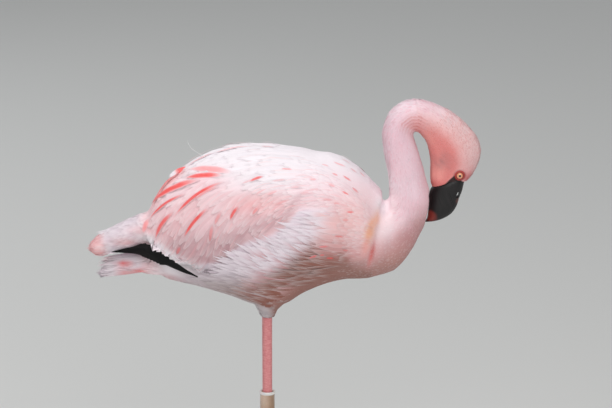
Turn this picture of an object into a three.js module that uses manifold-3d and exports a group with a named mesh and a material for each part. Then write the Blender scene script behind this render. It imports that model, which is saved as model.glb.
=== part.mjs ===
// A lesser flamingo, life size, standing on its right leg. The left leg is tucked up along the far
// side of the belly, and the neck curls over so that the bill hangs beside it. Millimetres, +X towards
// the breast, +Y towards the bird's left side, +Z up. The origin is on the floor, in the middle of the
// sole, right under the standing leg.
import * as THREE from "three";
import { mergeVertices } from "three/addons/utils/BufferGeometryUtils.js";
import Module from "manifold-3d";

const wasm = await Module();
wasm.setup();

// Driving dimensions
const GAP = 0.4; // between neighbouring solids
const FINEST = 0.05; // details smaller than this, left by the cuts, are merged away
const WING_DEPTH = 7.5; // how far the folded wing stands off the flank
const BILL_Y = 11; // the head hangs a little to the left of the neck
const HEAD_Y = 9.5;
const EYE_RADIUS = 6;
const SHANK_TOP = 327.6; // where the feathered thigh ends
const ANKLE_Z = 196;
const SHANK_RADIUS = 5.6;
const TARSUS_RADIUS = 4.7;
const PAD_TOP = 13; // where the tarsus stands on the foot
const RING = { inner: 7.4, outer: 9.3, height: 28 };
const WEB_THICKNESS = 1.8;
const CLAW_LENGTH = 7;
const HALF_SPACE = 150; // reach of the cutting shapes to one side of the bird

// Colours of the bird, used by the materials of the solids
const COLOURS = {
  plumage: [0xf1dcdd, 0.85],
  neck: [0xedc9cf, 0.85],
  face: [0xea9a92, 0.8],
  wing: [0xf4cfcd, 0.8],
  flight: [0x14120f, 0.5],
  bill: [0x2b2223, 0.35],
  eye: [0xe8a23c, 0.1],
  leg: [0xd98486, 0.5],
  claw: [0x33282a, 0.4],
  ring: [0xc9a98f, 0.3],
};
const material = (name) =>
  new THREE.MeshStandardMaterial({ color: COLOURS[name][0], roughness: COLOURS[name][1], metalness: 0 });

const bird = new THREE.Group();
const { PI, sin, cos, abs, sign, max, sqrt } = Math;

// --- Solids from loops of sections ---------------------------------------------------------------

// Joins a list of closed rings of points into one closed surface.
function skinRings(rings) {
  const sides = rings[0].length;
  const middle = (ring) => ring.reduce((sum, p) => sum.add(p), new THREE.Vector3()).divideScalar(sides);
  const points = [...rings.flat(), middle(rings[0]), middle(rings.at(-1))];
  const first = rings.length * sides;
  const faces = [];
  for (let j = 0; j < sides; j++) {
    const k = (j + 1) % sides;
    for (let i = 0; i + 1 < rings.length; i++) {
      const [a, b] = [i * sides, (i + 1) * sides];
      faces.push(a + j, a + k, b + k, a + j, b + k, b + j);
    }
    const last = (rings.length - 1) * sides;
    faces.push(first, k, j, first + 1, last + j, last + k);
  }
  const surface = new THREE.BufferGeometry().setFromPoints(points);
  surface.setIndex(faces);
  return surface;
}

// A body whose side view runs between an outer and an inner edge, and whose sections are ovals.
// lean moves the widest part of each oval towards the outer edge, and square makes it boxier.
function loft(stations, { rings = 20, sides = 20, lean = 0, square = 2, from = 0, to = 1 } = {}) {
  const through = (pick) => new THREE.CatmullRomCurve3(stations.map((s) => new THREE.Vector3(...pick(s))));
  const outer = through((s) => [s.outer[0], 0, s.outer[1]]);
  const inner = through((s) => [s.inner[0], 0, s.inner[1]]);
  const girth = through((s) => [s.side, s.y ?? 0, 0]);
  const made = [];
  for (let i = 0; i <= rings; i++) {
    const t = from + ((to - from) * i) / rings;
    const [high, low, wide] = [outer.getPoint(t), inner.getPoint(t), girth.getPoint(t)];
    const centre = high.clone().add(low).multiplyScalar(0.5);
    const half = high.clone().sub(centre);
    const ring = [];
    for (let j = 0; j < sides; j++) {
      const angle = (2 * PI * j) / sides;
      const up = sign(sin(angle)) * abs(sin(angle)) ** (2 / square);
      const across = sign(cos(angle)) * abs(cos(angle)) ** (2 / square) * (1 + lean * sin(angle));
      const point = centre.clone().addScaledVector(half, up);
      point.y = wide.y + wide.x * across;
      ring.push(point);
    }
    made.push(ring);
  }
  return skinRings(made);
}

// A limb along points of { at: [x, y, z], r, flat }, where flat squeezes it along its own thickness.
function limb(stations, { rings = 12, sides = 12 } = {}) {
  const line = new THREE.CatmullRomCurve3(stations.map((s) => new THREE.Vector3(...s.at)));
  const girth = new THREE.CatmullRomCurve3(stations.map((s) => new THREE.Vector3(s.r, s.r * (s.flat ?? 1), 0)));
  const made = [];
  for (let i = 0; i <= rings; i++) {
    const t = i / rings;
    const along = line.getTangent(t).normalize();
    const side = new THREE.Vector3(0, 1, 0).cross(along).normalize();
    const over = along.clone().cross(side);
    const [centre, size] = [line.getPoint(t), girth.getPoint(t)];
    const ring = [];
    for (let j = 0; j < sides; j++) {
      const angle = (2 * PI * j) / sides;
      const reach = side.clone().multiplyScalar(size.x * cos(angle));
      ring.push(centre.clone().add(reach).addScaledVector(over, size.y * sin(angle)));
    }
    made.push(ring);
  }
  return skinRings(made);
}

// Moves a surface outwards, for the gap that it leaves in a neighbour.
function grown(surface, by = GAP) {
  const wider = surface.clone();
  wider.computeVertexNormals();
  const [at, normal] = [wider.attributes.position, wider.attributes.normal];
  const outward = solid(surface, true) < 0 ? -by : by;
  for (let i = 0; i < at.count; i++) {
    at.setXYZ(
      i,
      at.getX(i) + normal.getX(i) * outward,
      at.getY(i) + normal.getY(i) * outward,
      at.getZ(i) + normal.getZ(i) * outward,
    );
  }
  return solid(wider);
}

// A closed surface as a manifold-3d solid with its faces pointing out, or its signed volume.
function solid(surface, volumeOnly = false) {
  const bare = surface.clone();
  bare.deleteAttribute("normal");
  bare.deleteAttribute("uv");
  const merged = mergeVertices(bare, 1e-4);
  const triVerts = new Uint32Array(merged.index.array);
  const make = () =>
    new wasm.Manifold(
      new wasm.Mesh({ numProp: 3, vertProperties: new Float32Array(merged.attributes.position.array), triVerts }),
    );
  const made = make();
  if (volumeOnly) return made.volume();
  if (made.volume() > 0) return made;
  triVerts.reverse();
  return make();
}

// Adds a manifold-3d solid to the bird as a named mesh, less any crumbs that a cut left beside it.
function part(name, shape, colour) {
  const main = shape.simplify(FINEST).decompose().sort((a, b) => b.volume() - a.volume())[0];
  const { numProp, numVert, vertProperties, triVerts } = main.getMesh();
  const points = new Float32Array(numVert * 3);
  for (let i = 0; i < numVert; i++) points.set(vertProperties.subarray(i * numProp, i * numProp + 3), i * 3);
  const surface = new THREE.BufferGeometry();
  surface.setAttribute("position", new THREE.BufferAttribute(points, 3));
  surface.setIndex(new THREE.BufferAttribute(new Uint32Array(triVerts), 1));
  surface.computeVertexNormals();
  const mesh = new THREE.Mesh(surface, material(colour));
  mesh.name = name;
  bird.add(mesh);
}

// A prism across the bird from a closed side-view outline, between two heights of Y.
function prism(points, fromY, toY, { smooth = true, fineness = 2 } = {}) {
  const shape = new THREE.Shape();
  const corners = points.map(([x, z]) => new THREE.Vector2(x, z));
  shape.moveTo(corners[0].x, corners[0].y);
  if (smooth) shape.splineThru([...corners.slice(1), corners[0]]);
  else corners.slice(1).forEach((c) => shape.lineTo(c.x, c.y));
  const settings = { depth: toY - fromY, bevelEnabled: false, curveSegments: fineness };
  return new THREE.ExtrudeGeometry(shape, settings).rotateX(PI / 2).translate(0, toY, 0);
}

const SIDES = [
  { name: "right", across: -1 },
  { name: "left", across: 1 },
];
const mirroredStations = (stations, across) => stations.map((s) => ({ ...s, y: s.y * across }));

// --- Trunk -----------------------------------------------------------------------------------------

// From the root of the tail to the breast: the back's and the belly's height, the half width, and how
// deep the folded wings lie over the back.
const TRUNK = [
  { x: -150, back: 452, belly: 393, side: 20, cover: 16 },
  { x: -128, back: 490, belly: 377, side: 34, cover: 15 },
  { x: -96, back: 521, belly: 369, side: 45, cover: 11 },
  { x: -54, back: 542, belly: 358, side: 56, cover: 9 },
  { x: -6, back: 547, belly: 347, side: 64, cover: 8 },
  { x: 41, back: 546, belly: 357, side: 67, cover: 5 },
  { x: 85, back: 543, belly: 374, side: 65, cover: 4 },
  { x: 119, back: 523, belly: 381, side: 56, cover: 4 },
  { x: 141, back: 492, belly: 389, side: 41, cover: 4 },
  { x: 158, back: 447, belly: 416, side: 14, cover: 4 },
];
const trunkStations = TRUNK.map((s) => ({ outer: [s.x, s.back], inner: [s.x, s.belly], side: s.side }));
const TRUNK_FINENESS = { rings: 17, sides: 22, lean: 0.08, square: 2.1 };
const trunkShape = loft(trunkStations, TRUNK_FINENESS);

// The same body with the wings folded over it, which the wings are cut from.
const coverStations = TRUNK.map((s) => ({
  outer: [s.x, s.back + s.cover],
  inner: [s.x, s.belly - 4],
  side: s.side + WING_DEPTH,
}));
const coverShape = loft(coverStations, TRUNK_FINENESS);

// --- Neck and head ---------------------------------------------------------------------------------

// From inside the breast, up the neck, over its bend and down to the root of the bill. The outer edge
// is the nape and crown, and the inner edge is the throat.
const NECK = [
  { outer: [108, 462], inner: [126, 384], side: 38, y: 0 },
  { outer: [129, 472], inner: [156, 391], side: 35, y: 0 },
  { outer: [143, 478], inner: [180, 411], side: 30.5, y: -1 },
  { outer: [150, 487], inner: [195, 441], side: 27, y: -2 },
  { outer: [151, 504], inner: [201, 477], side: 24, y: -3 },
  { outer: [148, 527], inner: [197, 518], side: 22, y: -3 },
  { outer: [145, 550], inner: [188, 549], side: 20.5, y: -2 },
  { outer: [144, 572], inner: [184, 564], side: 19.5, y: -1 },
  { outer: [153, 597], inner: [184, 568], side: 19, y: 0 },
  { outer: [170, 610], inner: [186, 570], side: 19, y: 1 },
  { outer: [190, 613], inner: [189, 569], side: 19, y: 2 },
  { outer: [210, 607], inner: [193, 564], side: 19.5, y: 4 },
  { outer: [229, 596], inner: [198, 555], side: 20, y: 5.5 },
  { outer: [247, 579], inner: [201, 543], side: 20.5, y: 7 },
  { outer: [261, 563], inner: [203, 531], side: 20.5, y: 8 },
  { outer: [268, 545], inner: [203, 519], side: 20, y: 9 },
  { outer: [265, 527], inner: [203, 509], side: 19, y: HEAD_Y },
  { outer: [257, 511], inner: [204, 500], side: 17, y: HEAD_Y },
  { outer: [250, 503], inner: [206, 495], side: 14, y: HEAD_Y + 0.5 },
];
const LAST_STATION = NECK.length - 1;
const LENGTHS = [
  { name: "neck_lower", from: 0, to: 4, rings: 7, colour: "neck" },
  { name: "neck_middle", from: 4, to: 7.4, rings: 6, colour: "neck" },
  { name: "neck_upper", from: 7.4, to: 11.6, rings: 9, colour: "neck" },
  { name: "head", from: 11.6, to: LAST_STATION, rings: 11, colour: "face" },
];
const CUT_SHARE = 0.013; // of a station, so that the lengths meet without touching
function neckLength({ from, to, rings }) {
  const range = { from: (from + CUT_SHARE) / LAST_STATION, to: (to - CUT_SHARE) / LAST_STATION };
  return loft(NECK, { rings, sides: 16, ...range });
}

// --- Bill ------------------------------------------------------------------------------------------

// From inside the face to the tip. The outer edge is the ridge of the upper half, and the inner edge
// is the keel of the lower half, which hangs next to the neck.
const BILL = [
  { outer: [247, 512], inner: [208, 503], side: 11, y: HEAD_Y },
  { outer: [246, 500], inner: [205, 493], side: 11.5, y: HEAD_Y + 0.5 },
  { outer: [244.5, 491], inner: [204, 484], side: 11.5, y: BILL_Y },
  { outer: [240.5, 482], inner: [203.5, 476], side: 11.5, y: BILL_Y },
  { outer: [236, 472], inner: [203, 468], side: 11, y: BILL_Y },
  { outer: [229, 463.5], inner: [202.5, 462.5], side: 10, y: BILL_Y },
  { outer: [220, 458], inner: [202, 459], side: 8.5, y: BILL_Y },
  { outer: [211, 455], inner: [201, 456.5], side: 6.5, y: BILL_Y },
  { outer: [203, 452.5], inner: [199.5, 454], side: 4, y: BILL_Y },
  { outer: [198.5, 451], inner: [198, 452], side: 1.5, y: BILL_Y },
];
const billShape = loft(BILL, { rings: 12, sides: 14, square: 2.2 });
// The cutting edge between the two halves, from the gape to the tip, closed round the upper half.
const LID = [
  [232, 525], [229.5, 505], [227, 494], [230, 483], [233, 474], [230, 467],
  [222, 461], [212, 457.4], [203, 454.4], [190, 451.4], [190, 430], [280, 430], [280, 525],
];
const lid = solid(prism(LID, -HALF_SPACE, HALF_SPACE, { smooth: false }));
const lidGrown = solid(prism(LID.map(([x, z]) => [x - GAP, z + GAP]), -HALF_SPACE, HALF_SPACE, { smooth: false }));
// The nostril is an open slit right through the upper half.
const NOSTRIL = { x: 238.2, z: 487, length: 8, height: 2.2, tilt: 1.25 };
function nostril() {
  const slit = new THREE.CylinderGeometry(1, 1, 40, 12);
  slit.scale(NOSTRIL.length / 2, 1, NOSTRIL.height / 2);
  return solid(slit.rotateY(-NOSTRIL.tilt).translate(NOSTRIL.x, BILL_Y, NOSTRIL.z));
}
const billSolid = solid(billShape);
part("upper_bill", billSolid.intersect(lid).subtract(nostril()), "bill");
part("lower_bill", billSolid.subtract(lidGrown), "bill");

// --- Eyes ------------------------------------------------------------------------------------------

const EYE = { x: 241, z: 513, outward: 14.2 }; // outward from the middle of the head
const eyeShapes = SIDES.map(({ name, across }) => {
  const ball = new THREE.SphereGeometry(EYE_RADIUS, 12, 8).translate(EYE.x, HEAD_Y + across * EYE.outward, EYE.z);
  part(`eye_${name}`, solid(ball), "eye");
  return new THREE.SphereGeometry(EYE_RADIUS + GAP, 12, 8).translate(EYE.x, HEAD_Y + across * EYE.outward, EYE.z);
});

// --- Tail ------------------------------------------------------------------------------------------

// The tail feathers droop at the sides, and the soft feathers under the tail end in a tuft.
const TAIL = [
  { outer: [-128, 462], inner: [-128, 428], side: 24 },
  { outer: [-149, 467], inner: [-149, 424], side: 26 },
  { outer: [-171, 459], inner: [-171, 417], side: 26 },
  { outer: [-194, 448], inner: [-194, 411], side: 24 },
  { outer: [-212, 437], inner: [-211, 406], side: 20 },
  { outer: [-223, 426], inner: [-222, 414], side: 12 },
];
const UNDERTAIL = [
  { outer: [-121, 410], inner: [-121, 380], side: 20 },
  { outer: [-146, 410], inner: [-146, 382], side: 20 },
  { outer: [-171, 407], inner: [-171, 386], side: 17 },
  { outer: [-190, 403], inner: [-190, 385], side: 14 },
  { outer: [-205, 397], inner: [-205, 379], side: 10 },
  { outer: [-210, 390], inner: [-210, 382], side: 6 },
];
const tailShape = loft(TAIL, { rings: 7, sides: 16, square: 2.2 });
const undertailShape = loft(UNDERTAIL, { rings: 7, sides: 12, square: 2.2 });

// --- Black flight feathers -------------------------------------------------------------------------

// Their tips come out from under the folded wing and lie along the root of the tail.
const FLIGHT = [
  { outer: [-44, 397], inner: [-45, 393], side: 0.8, y: 54 },
  { outer: [-61, 401], inner: [-69, 387], side: 2.2, y: 50 },
  { outer: [-85, 405], inner: [-96, 390], side: 2.4, y: 44 },
  { outer: [-112, 414], inner: [-121, 399], side: 2.4, y: 38 },
  { outer: [-136, 427], inner: [-142, 408], side: 2.2, y: 31.5 },
  { outer: [-152, 435], inner: [-157, 415], side: 1.9, y: 27 },
  { outer: [-169, 430], inner: [-173, 417], side: 1.5, y: 23.5 },
  { outer: [-184, 424], inner: [-187, 418], side: 1.2, y: 20.5 },
  { outer: [-194, 420], inner: [-194.5, 418.5], side: 0.8, y: 19 },
];
const flightShapes = SIDES.map(({ across }) => loft(mirroredStations(FLIGHT, across), { rings: 10, sides: 8 }));

// --- Standing leg ----------------------------------------------------------------------------------

const THIGH = [
  { at: [2, -14, 385], r: 26 },
  { at: [1, -11, 352], r: 16.5 },
  { at: [1, -9, 339], r: 12 },
  { at: [0.5, -7.5, SHANK_TOP + GAP], r: 7.6 },
];
const thighShape = limb(THIGH, { rings: 8, sides: 16 });

const RING_BOTTOM = ANKLE_Z + 8.4;
const shankAt = (z) => [0, -2 - (5 * (z - ANKLE_Z)) / (SHANK_TOP - ANKLE_Z), z];
const SHANK_END = ANKLE_Z + 16;
const shankShape = limb(
  [
    { at: shankAt(SHANK_END + GAP), r: SHANK_RADIUS },
    { at: shankAt(260), r: SHANK_RADIUS },
    { at: shankAt(SHANK_TOP), r: SHANK_RADIUS + 0.3 },
  ],
  { rings: 5, sides: 14 },
);

// The foot: three front toes with a web between them, a small raised hind toe and four claws.
const FOOT = { x: 0, y: 0 };
const TOES = [
  { name: "inner", turn: 31, length: 55 },
  { name: "middle", turn: 1, length: 66 },
  { name: "outer", turn: -30, length: 59 },
];
const TOE = { rootWidth: 9, tipWidth: 5, rootHeight: 9, tipHeight: 5 };
// A toe along +X with a flat sole, from a little behind the pad to its tip.
function toe(length, { rings = 5, sides = 8, thick = 1 } = {}) {
  const made = [];
  for (let i = 0; i <= rings; i++) {
    const t = i / rings;
    const end = i === rings ? 0.6 : 1;
    const width = (TOE.rootWidth + (TOE.tipWidth - TOE.rootWidth) * t) * thick * end;
    const height = (TOE.rootHeight + (TOE.tipHeight - TOE.rootHeight) * t) * thick * end;
    const ring = [];
    for (let j = 0; j < sides; j++) {
      const angle = (2 * PI * j) / sides;
      const z = max(0, height * (0.35 + 0.65 * sin(angle)));
      ring.push(new THREE.Vector3(-3 + (length + 3) * t, (width / 2) * cos(angle), z));
    }
    made.push(ring);
  }
  return skinRings(made);
}
// The web runs from toe to toe and is hollowed at its front edge.
function web() {
  const tip = ({ turn, length }, share) => {
    const angle = (turn * PI) / 180;
    return [length * share * cos(angle), length * share * sin(angle)];
  };
  const [a, b, c] = TOES;
  const shape = new THREE.Shape();
  shape.moveTo(-2, 3);
  shape.lineTo(...tip(a, 0.94));
  shape.quadraticCurveTo(...tip({ turn: (a.turn + b.turn) / 2, length: b.length }, 0.6), ...tip(b, 0.93));
  shape.quadraticCurveTo(...tip({ turn: (b.turn + c.turn) / 2, length: b.length }, 0.62), ...tip(c, 0.94));
  shape.lineTo(-2, -3);
  shape.closePath();
  return new THREE.ExtrudeGeometry(shape, { depth: WEB_THICKNESS, bevelEnabled: false, curveSegments: 5 });
}
const turned = (surface, degrees) => surface.clone().rotateZ((degrees * PI) / 180);
const tarsusFoot = (z) => [0, FOOT.y - (2 * z) / ANKLE_Z, z];
const pad = limb(
  [
    { at: [0.5, FOOT.y, 0], r: 7.5 },
    { at: [0.5, FOOT.y, 5], r: 7.5 },
    { at: tarsusFoot(PAD_TOP), r: TARSUS_RADIUS + 0.4 },
  ],
  { rings: 4, sides: 14 },
);
const hindToe = limb(
  [
    { at: [-2, 2, 9], r: 2.4 },
    { at: [-8, 4, 7], r: 2.1 },
    { at: [-12, 5.5, 4.4], r: 1.6 },
  ],
  { rings: 3, sides: 8 },
);
let foot = solid(pad).add(solid(web())).add(solid(hindToe));
TOES.forEach(({ turn, length }) => {
  foot = foot.add(solid(turned(toe(length), turn)));
});
part("right_foot", foot, "leg");

// A claw along +X: a short blade that curves down to the floor.
function claw(length = CLAW_LENGTH) {
  const stations = [
    { outer: [0, 3.2], inner: [0, 0.1], side: 1.7 },
    { outer: [length * 0.5, 2.8], inner: [length * 0.5, 0.1], side: 1.5 },
    { outer: [length, 0.9], inner: [length, 0.1], side: 0.5 },
  ];
  return loft(stations, { rings: 3, sides: 6 });
}
TOES.forEach(({ name, turn, length }) => {
  part(`right_claw_${name}`, solid(turned(claw().translate(length + GAP, 0, 0), turn)), "claw");
});

// The ankle joint is the swollen top of the tarsus. The leg band hangs on it.
const tarsusShape = limb(
  [
    { at: tarsusFoot(PAD_TOP + GAP), r: TARSUS_RADIUS },
    { at: tarsusFoot(40), r: TARSUS_RADIUS },
    { at: tarsusFoot(110), r: TARSUS_RADIUS },
    { at: tarsusFoot(165), r: TARSUS_RADIUS + 0.4 },
    { at: tarsusFoot(184), r: 7.2 },
    { at: tarsusFoot(ANKLE_Z), r: 9.2, flat: 0.9 },
    { at: [0, -2.2, ANKLE_Z + 8], r: 7.9 },
    { at: [0, -2.6, SHANK_END], r: SHANK_RADIUS },
  ],
  { rings: 15, sides: 10 },
);
part("right_tarsus", solid(tarsusShape), "leg");
part("right_shank", solid(shankShape), "leg");

// A plain plastic band, loose round the shank.
const [ringX, ringY] = shankAt(RING_BOTTOM + RING.height / 2);
const ringProfile = [
  [RING.inner, 0],
  [RING.outer, 0],
  [RING.outer, RING.height],
  [RING.inner, RING.height],
  [RING.inner, 0],
].map(([r, z]) => new THREE.Vector2(r, z));
const ringShape = new THREE.LatheGeometry(ringProfile, 20).rotateX(PI / 2).translate(ringX, ringY, RING_BOTTOM);
part("leg_ring", solid(ringShape).subtract(grown(tarsusShape)), "ring");

// --- Tucked leg ------------------------------------------------------------------------------------

// It is folded at the ankle: the shank comes down out of the vent feathers, and the tarsus runs
// forwards along the left side of the belly to the closed foot.
const TUCKED_ANKLE = [-138, 25, 387];
const TUCKED_FOOT = [44, 47, 379];
const TUCKED_TIP = [110, 42, 398];
const mix = (a, b, t) => a.map((v, i) => v + (b[i] - v) * t);
const tuckedTarsus = limb(
  [
    { at: mix(TUCKED_ANKLE, TUCKED_FOOT, -0.045), r: 4 },
    { at: TUCKED_ANKLE, r: 8, flat: 0.9 },
    { at: mix(TUCKED_ANKLE, TUCKED_FOOT, 0.09), r: 6 },
    { at: mix(TUCKED_ANKLE, TUCKED_FOOT, 0.3), r: TARSUS_RADIUS },
    { at: mix(TUCKED_ANKLE, TUCKED_FOOT, 0.97), r: TARSUS_RADIUS },
  ],
  { rings: 11, sides: 10 },
);
const tuckedShank = limb(
  [
    { at: [-128, 27, 394], r: 5 },
    { at: [-110, 29, 400], r: SHANK_RADIUS },
    { at: [-84, 32, 407], r: SHANK_RADIUS },
  ],
  { rings: 4, sides: 12 },
);
// The closed foot: the three toes side by side, one a little above the other.
const TUCKED_TOES = [
  { name: "inner", reach: 0.8, shift: [0, -1.5, 5] },
  { name: "middle", reach: 1, shift: [0, 0.5, 0] },
  { name: "outer", reach: 0.88, shift: [0, -1.5, -5] },
];
const toeEnd = ({ reach, shift }) => mix(TUCKED_FOOT, TUCKED_TIP, reach).map((v, i) => v + shift[i]);
const tuckedToe = (which) =>
  limb(
    [
      { at: mix(TUCKED_FOOT, TUCKED_TIP, 0.0), r: 5 },
      { at: mix(TUCKED_FOOT, toeEnd(which), 0.35), r: 3.9 },
      { at: mix(TUCKED_FOOT, toeEnd(which), 1), r: 2.6 },
    ],
    { rings: 3, sides: 7 },
  );
const tuckedToes = TUCKED_TOES.map(tuckedToe);
const tuckedFoot = tuckedToes.map((t) => solid(t)).reduce((a, b) => a.add(b));
const tuckedFootGrown = tuckedToes.map((t) => grown(t)).reduce((a, b) => a.add(b));
const tuckedClaw = (which) => {
  const heading = new THREE.Vector3(...toeEnd(which)).sub(new THREE.Vector3(...TUCKED_FOOT)).normalize();
  const start = new THREE.Vector3(...toeEnd(which)).addScaledVector(heading, GAP * 1.5);
  const tip = start.clone().addScaledVector(heading, CLAW_LENGTH);
  return limb([{ at: start.toArray(), r: 1.7 }, { at: tip.toArray(), r: 0.6 }], { rings: 2, sides: 8 });
};

part("left_tarsus", solid(tuckedTarsus).subtract(tuckedFootGrown), "leg");
part("left_foot", tuckedFoot, "leg");
part("left_shank", solid(tuckedShank).subtract(grown(tuckedTarsus)), "leg");
const tuckedClaws = TUCKED_TOES.map((which) => {
  const shape = tuckedClaw(which);
  part(`left_claw_${which.name}`, solid(shape), "claw");
  return grown(shape);
});
const tuckedGrown = [grown(tuckedTarsus), grown(tuckedShank), tuckedFootGrown, ...tuckedClaws].reduce((a, b) =>
  a.add(b),
);

// --- Plumage: trunk, wings, tail, thigh and neck, each cut back from what lies in it ---------------

const neckWhole = grown(loft(NECK, { rings: 28, sides: 16 }));
const trunkGrown = grown(trunkShape);
const flightGrown = flightShapes.map((s) => grown(s, 2 * GAP));
const trunk = solid(trunkShape).subtract(tuckedGrown).subtract(flightGrown[0]).subtract(flightGrown[1]);
part("trunk", trunk, "plumage");

// The side view of a folded wing, from the shoulder over the back to the tips and forwards below.
const WING = [
  [51, 546], [80, 528], [105, 510], [124, 488], [134, 464], [134, 440], [125, 420], [102, 407],
  [45, 400], [-9, 397], [-52, 393], [-84, 397], [-112, 409], [-138, 424], [-152, 436], [-157, 452],
  [-152, 470], [-146, 500], [-100, 590], [0, 590],
];
SIDES.forEach(({ name, across }, i) => {
  const [near, far] = across < 0 ? [-HALF_SPACE, -GAP / 2] : [GAP / 2, HALF_SPACE];
  const shell = solid(coverShape).intersect(solid(prism(WING, near, far)));
  const wing = shell
    .subtract(trunkGrown)
    .subtract(flightGrown[i])
    .subtract(neckWhole)
    .subtract(grown(tailShape))
    .subtract(tuckedGrown);
  part(`${name}_wing`, wing, "wing");
  part(`${name}_flight_feathers`, solid(flightShapes[i]), "flight");
});

part("tail", solid(tailShape).subtract(trunkGrown).subtract(flightGrown[0]).subtract(flightGrown[1]), "plumage");
part(
  "undertail",
  solid(undertailShape).subtract(trunkGrown).subtract(flightGrown[0]).subtract(flightGrown[1]).subtract(tuckedGrown),
  "plumage",
);
part("right_thigh", solid(thighShape).subtract(trunkGrown).subtract(grown(shankShape)), "plumage");

LENGTHS.forEach((length) => {
  let shape = solid(neckLength(length));
  if (length.name === "neck_lower") shape = shape.subtract(trunkGrown);
  if (length.name === "head") {
    shape = shape.subtract(grown(billShape));
    eyeShapes.forEach((socket) => (shape = shape.subtract(solid(socket))));
  }
  part(length.name, shape, length.colour);
});

export default bird;
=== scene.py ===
"""A lesser flamingo asleep on its feet: one straight leg, the other tucked away, the neck curled over.

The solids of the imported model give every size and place. Feathers, scales, bill, eyes and ring are made
around them here, in metres, +X towards the breast, +Y towards the bird's left side, +Z up.
"""

import math

import bmesh
import bpy
import numpy as np
from mathutils import Matrix, Vector
from mathutils.bvhtree import BVHTree
from mathutils.kdtree import KDTree


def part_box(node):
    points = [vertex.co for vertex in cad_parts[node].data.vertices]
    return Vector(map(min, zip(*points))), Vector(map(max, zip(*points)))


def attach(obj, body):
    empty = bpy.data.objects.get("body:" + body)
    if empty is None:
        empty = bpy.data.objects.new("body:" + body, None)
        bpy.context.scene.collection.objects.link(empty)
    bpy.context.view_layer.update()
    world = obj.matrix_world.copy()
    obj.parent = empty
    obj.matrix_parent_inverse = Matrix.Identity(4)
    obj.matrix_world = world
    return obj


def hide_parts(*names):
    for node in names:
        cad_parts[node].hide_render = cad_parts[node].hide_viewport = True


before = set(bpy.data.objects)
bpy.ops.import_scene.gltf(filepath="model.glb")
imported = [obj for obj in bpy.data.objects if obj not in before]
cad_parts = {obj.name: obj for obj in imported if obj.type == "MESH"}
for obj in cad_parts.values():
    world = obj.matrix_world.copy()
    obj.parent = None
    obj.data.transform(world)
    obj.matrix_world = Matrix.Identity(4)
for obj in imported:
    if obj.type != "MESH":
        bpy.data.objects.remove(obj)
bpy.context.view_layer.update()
MM = 0.001
rng = np.random.default_rng(20)

# --- Camera, floor and light ----------------------------------------------------------------------
# A long lens looks a little down on the bird's right side. The light is a bright, even sky from above
# and behind the tail, over a plain pale floor.

AIM = Vector((48.8, 0, 475.5)) * MM
CAMERA_RISE = math.radians(15)
CAMERA_DISTANCE = 6.0
VIEW_WIDTH = 765 * MM

lens = bpy.data.cameras.new("camera")
lens.sensor_width = 36
lens.lens = 36 * CAMERA_DISTANCE / VIEW_WIDTH
lens.clip_end = 50
camera = bpy.data.objects.new("camera", lens)
bpy.context.scene.collection.objects.link(camera)
towards = Vector((0, -math.cos(CAMERA_RISE), math.sin(CAMERA_RISE)))
camera.location = AIM + towards * CAMERA_DISTANCE
camera.rotation_euler = towards.to_track_quat("Z", "Y").to_euler()
bpy.context.scene.camera = camera


def lamp(name, place, size, power, colour):
    """A large soft square lamp that faces the bird."""
    light = bpy.data.lights.new(name, "AREA")
    light.shape = "SQUARE"
    light.size = size
    light.energy = power
    light.color = colour
    holder = bpy.data.objects.new(name, light)
    holder.location = place
    holder.rotation_euler = (Vector(place) - AIM).to_track_quat("Z", "Y").to_euler()
    bpy.context.scene.collection.objects.link(holder)


lamp("sky", (-0.8, -0.5, 2.9), 1.9, 40, (1.0, 0.99, 0.98))
lamp("side", (0.7, -2.8, 1.7), 1.8, 38, (1.0, 0.98, 0.97))
lamp("back", (-1.2, 2.4, 1.8), 1.6, 11, (0.95, 0.98, 1.0))

world = bpy.data.worlds.new("studio")
world.use_nodes = True
world.node_tree.nodes["Background"].inputs["Color"].default_value = (0.86, 0.88, 0.90, 1)
world.node_tree.nodes["Background"].inputs["Strength"].default_value = 0.42
bpy.context.scene.world = world
bpy.context.scene.view_settings.view_transform = "Standard"


class Value:
    """One output of a shader node. Sums and products on it add Math nodes to the same material."""

    def __init__(self, finish, socket):
        self.finish, self.socket = finish, socket

    def maths(self, operation, *values):
        return self.finish.node("Math", {"operation": operation}, dict(enumerate(values)))

    def __add__(self, other):
        return self.maths("ADD", self, other)

    def __sub__(self, other):
        return self.maths("SUBTRACT", self, other)

    def __rsub__(self, other):
        return self.maths("SUBTRACT", other, self)

    def __mul__(self, other):
        return self.maths("MULTIPLY", self, other)

    __radd__, __rmul__ = __add__, __mul__

    def __abs__(self):
        return self.maths("ABSOLUTE", self)

    def rise(self, low, high):
        """0 below low and 1 above high, with a smooth slope between."""
        ends = {"Value": self, "From Min": low, "From Max": high}
        return self.finish.node("MapRange", {"interpolation_type": "SMOOTHSTEP"}, ends)


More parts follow.
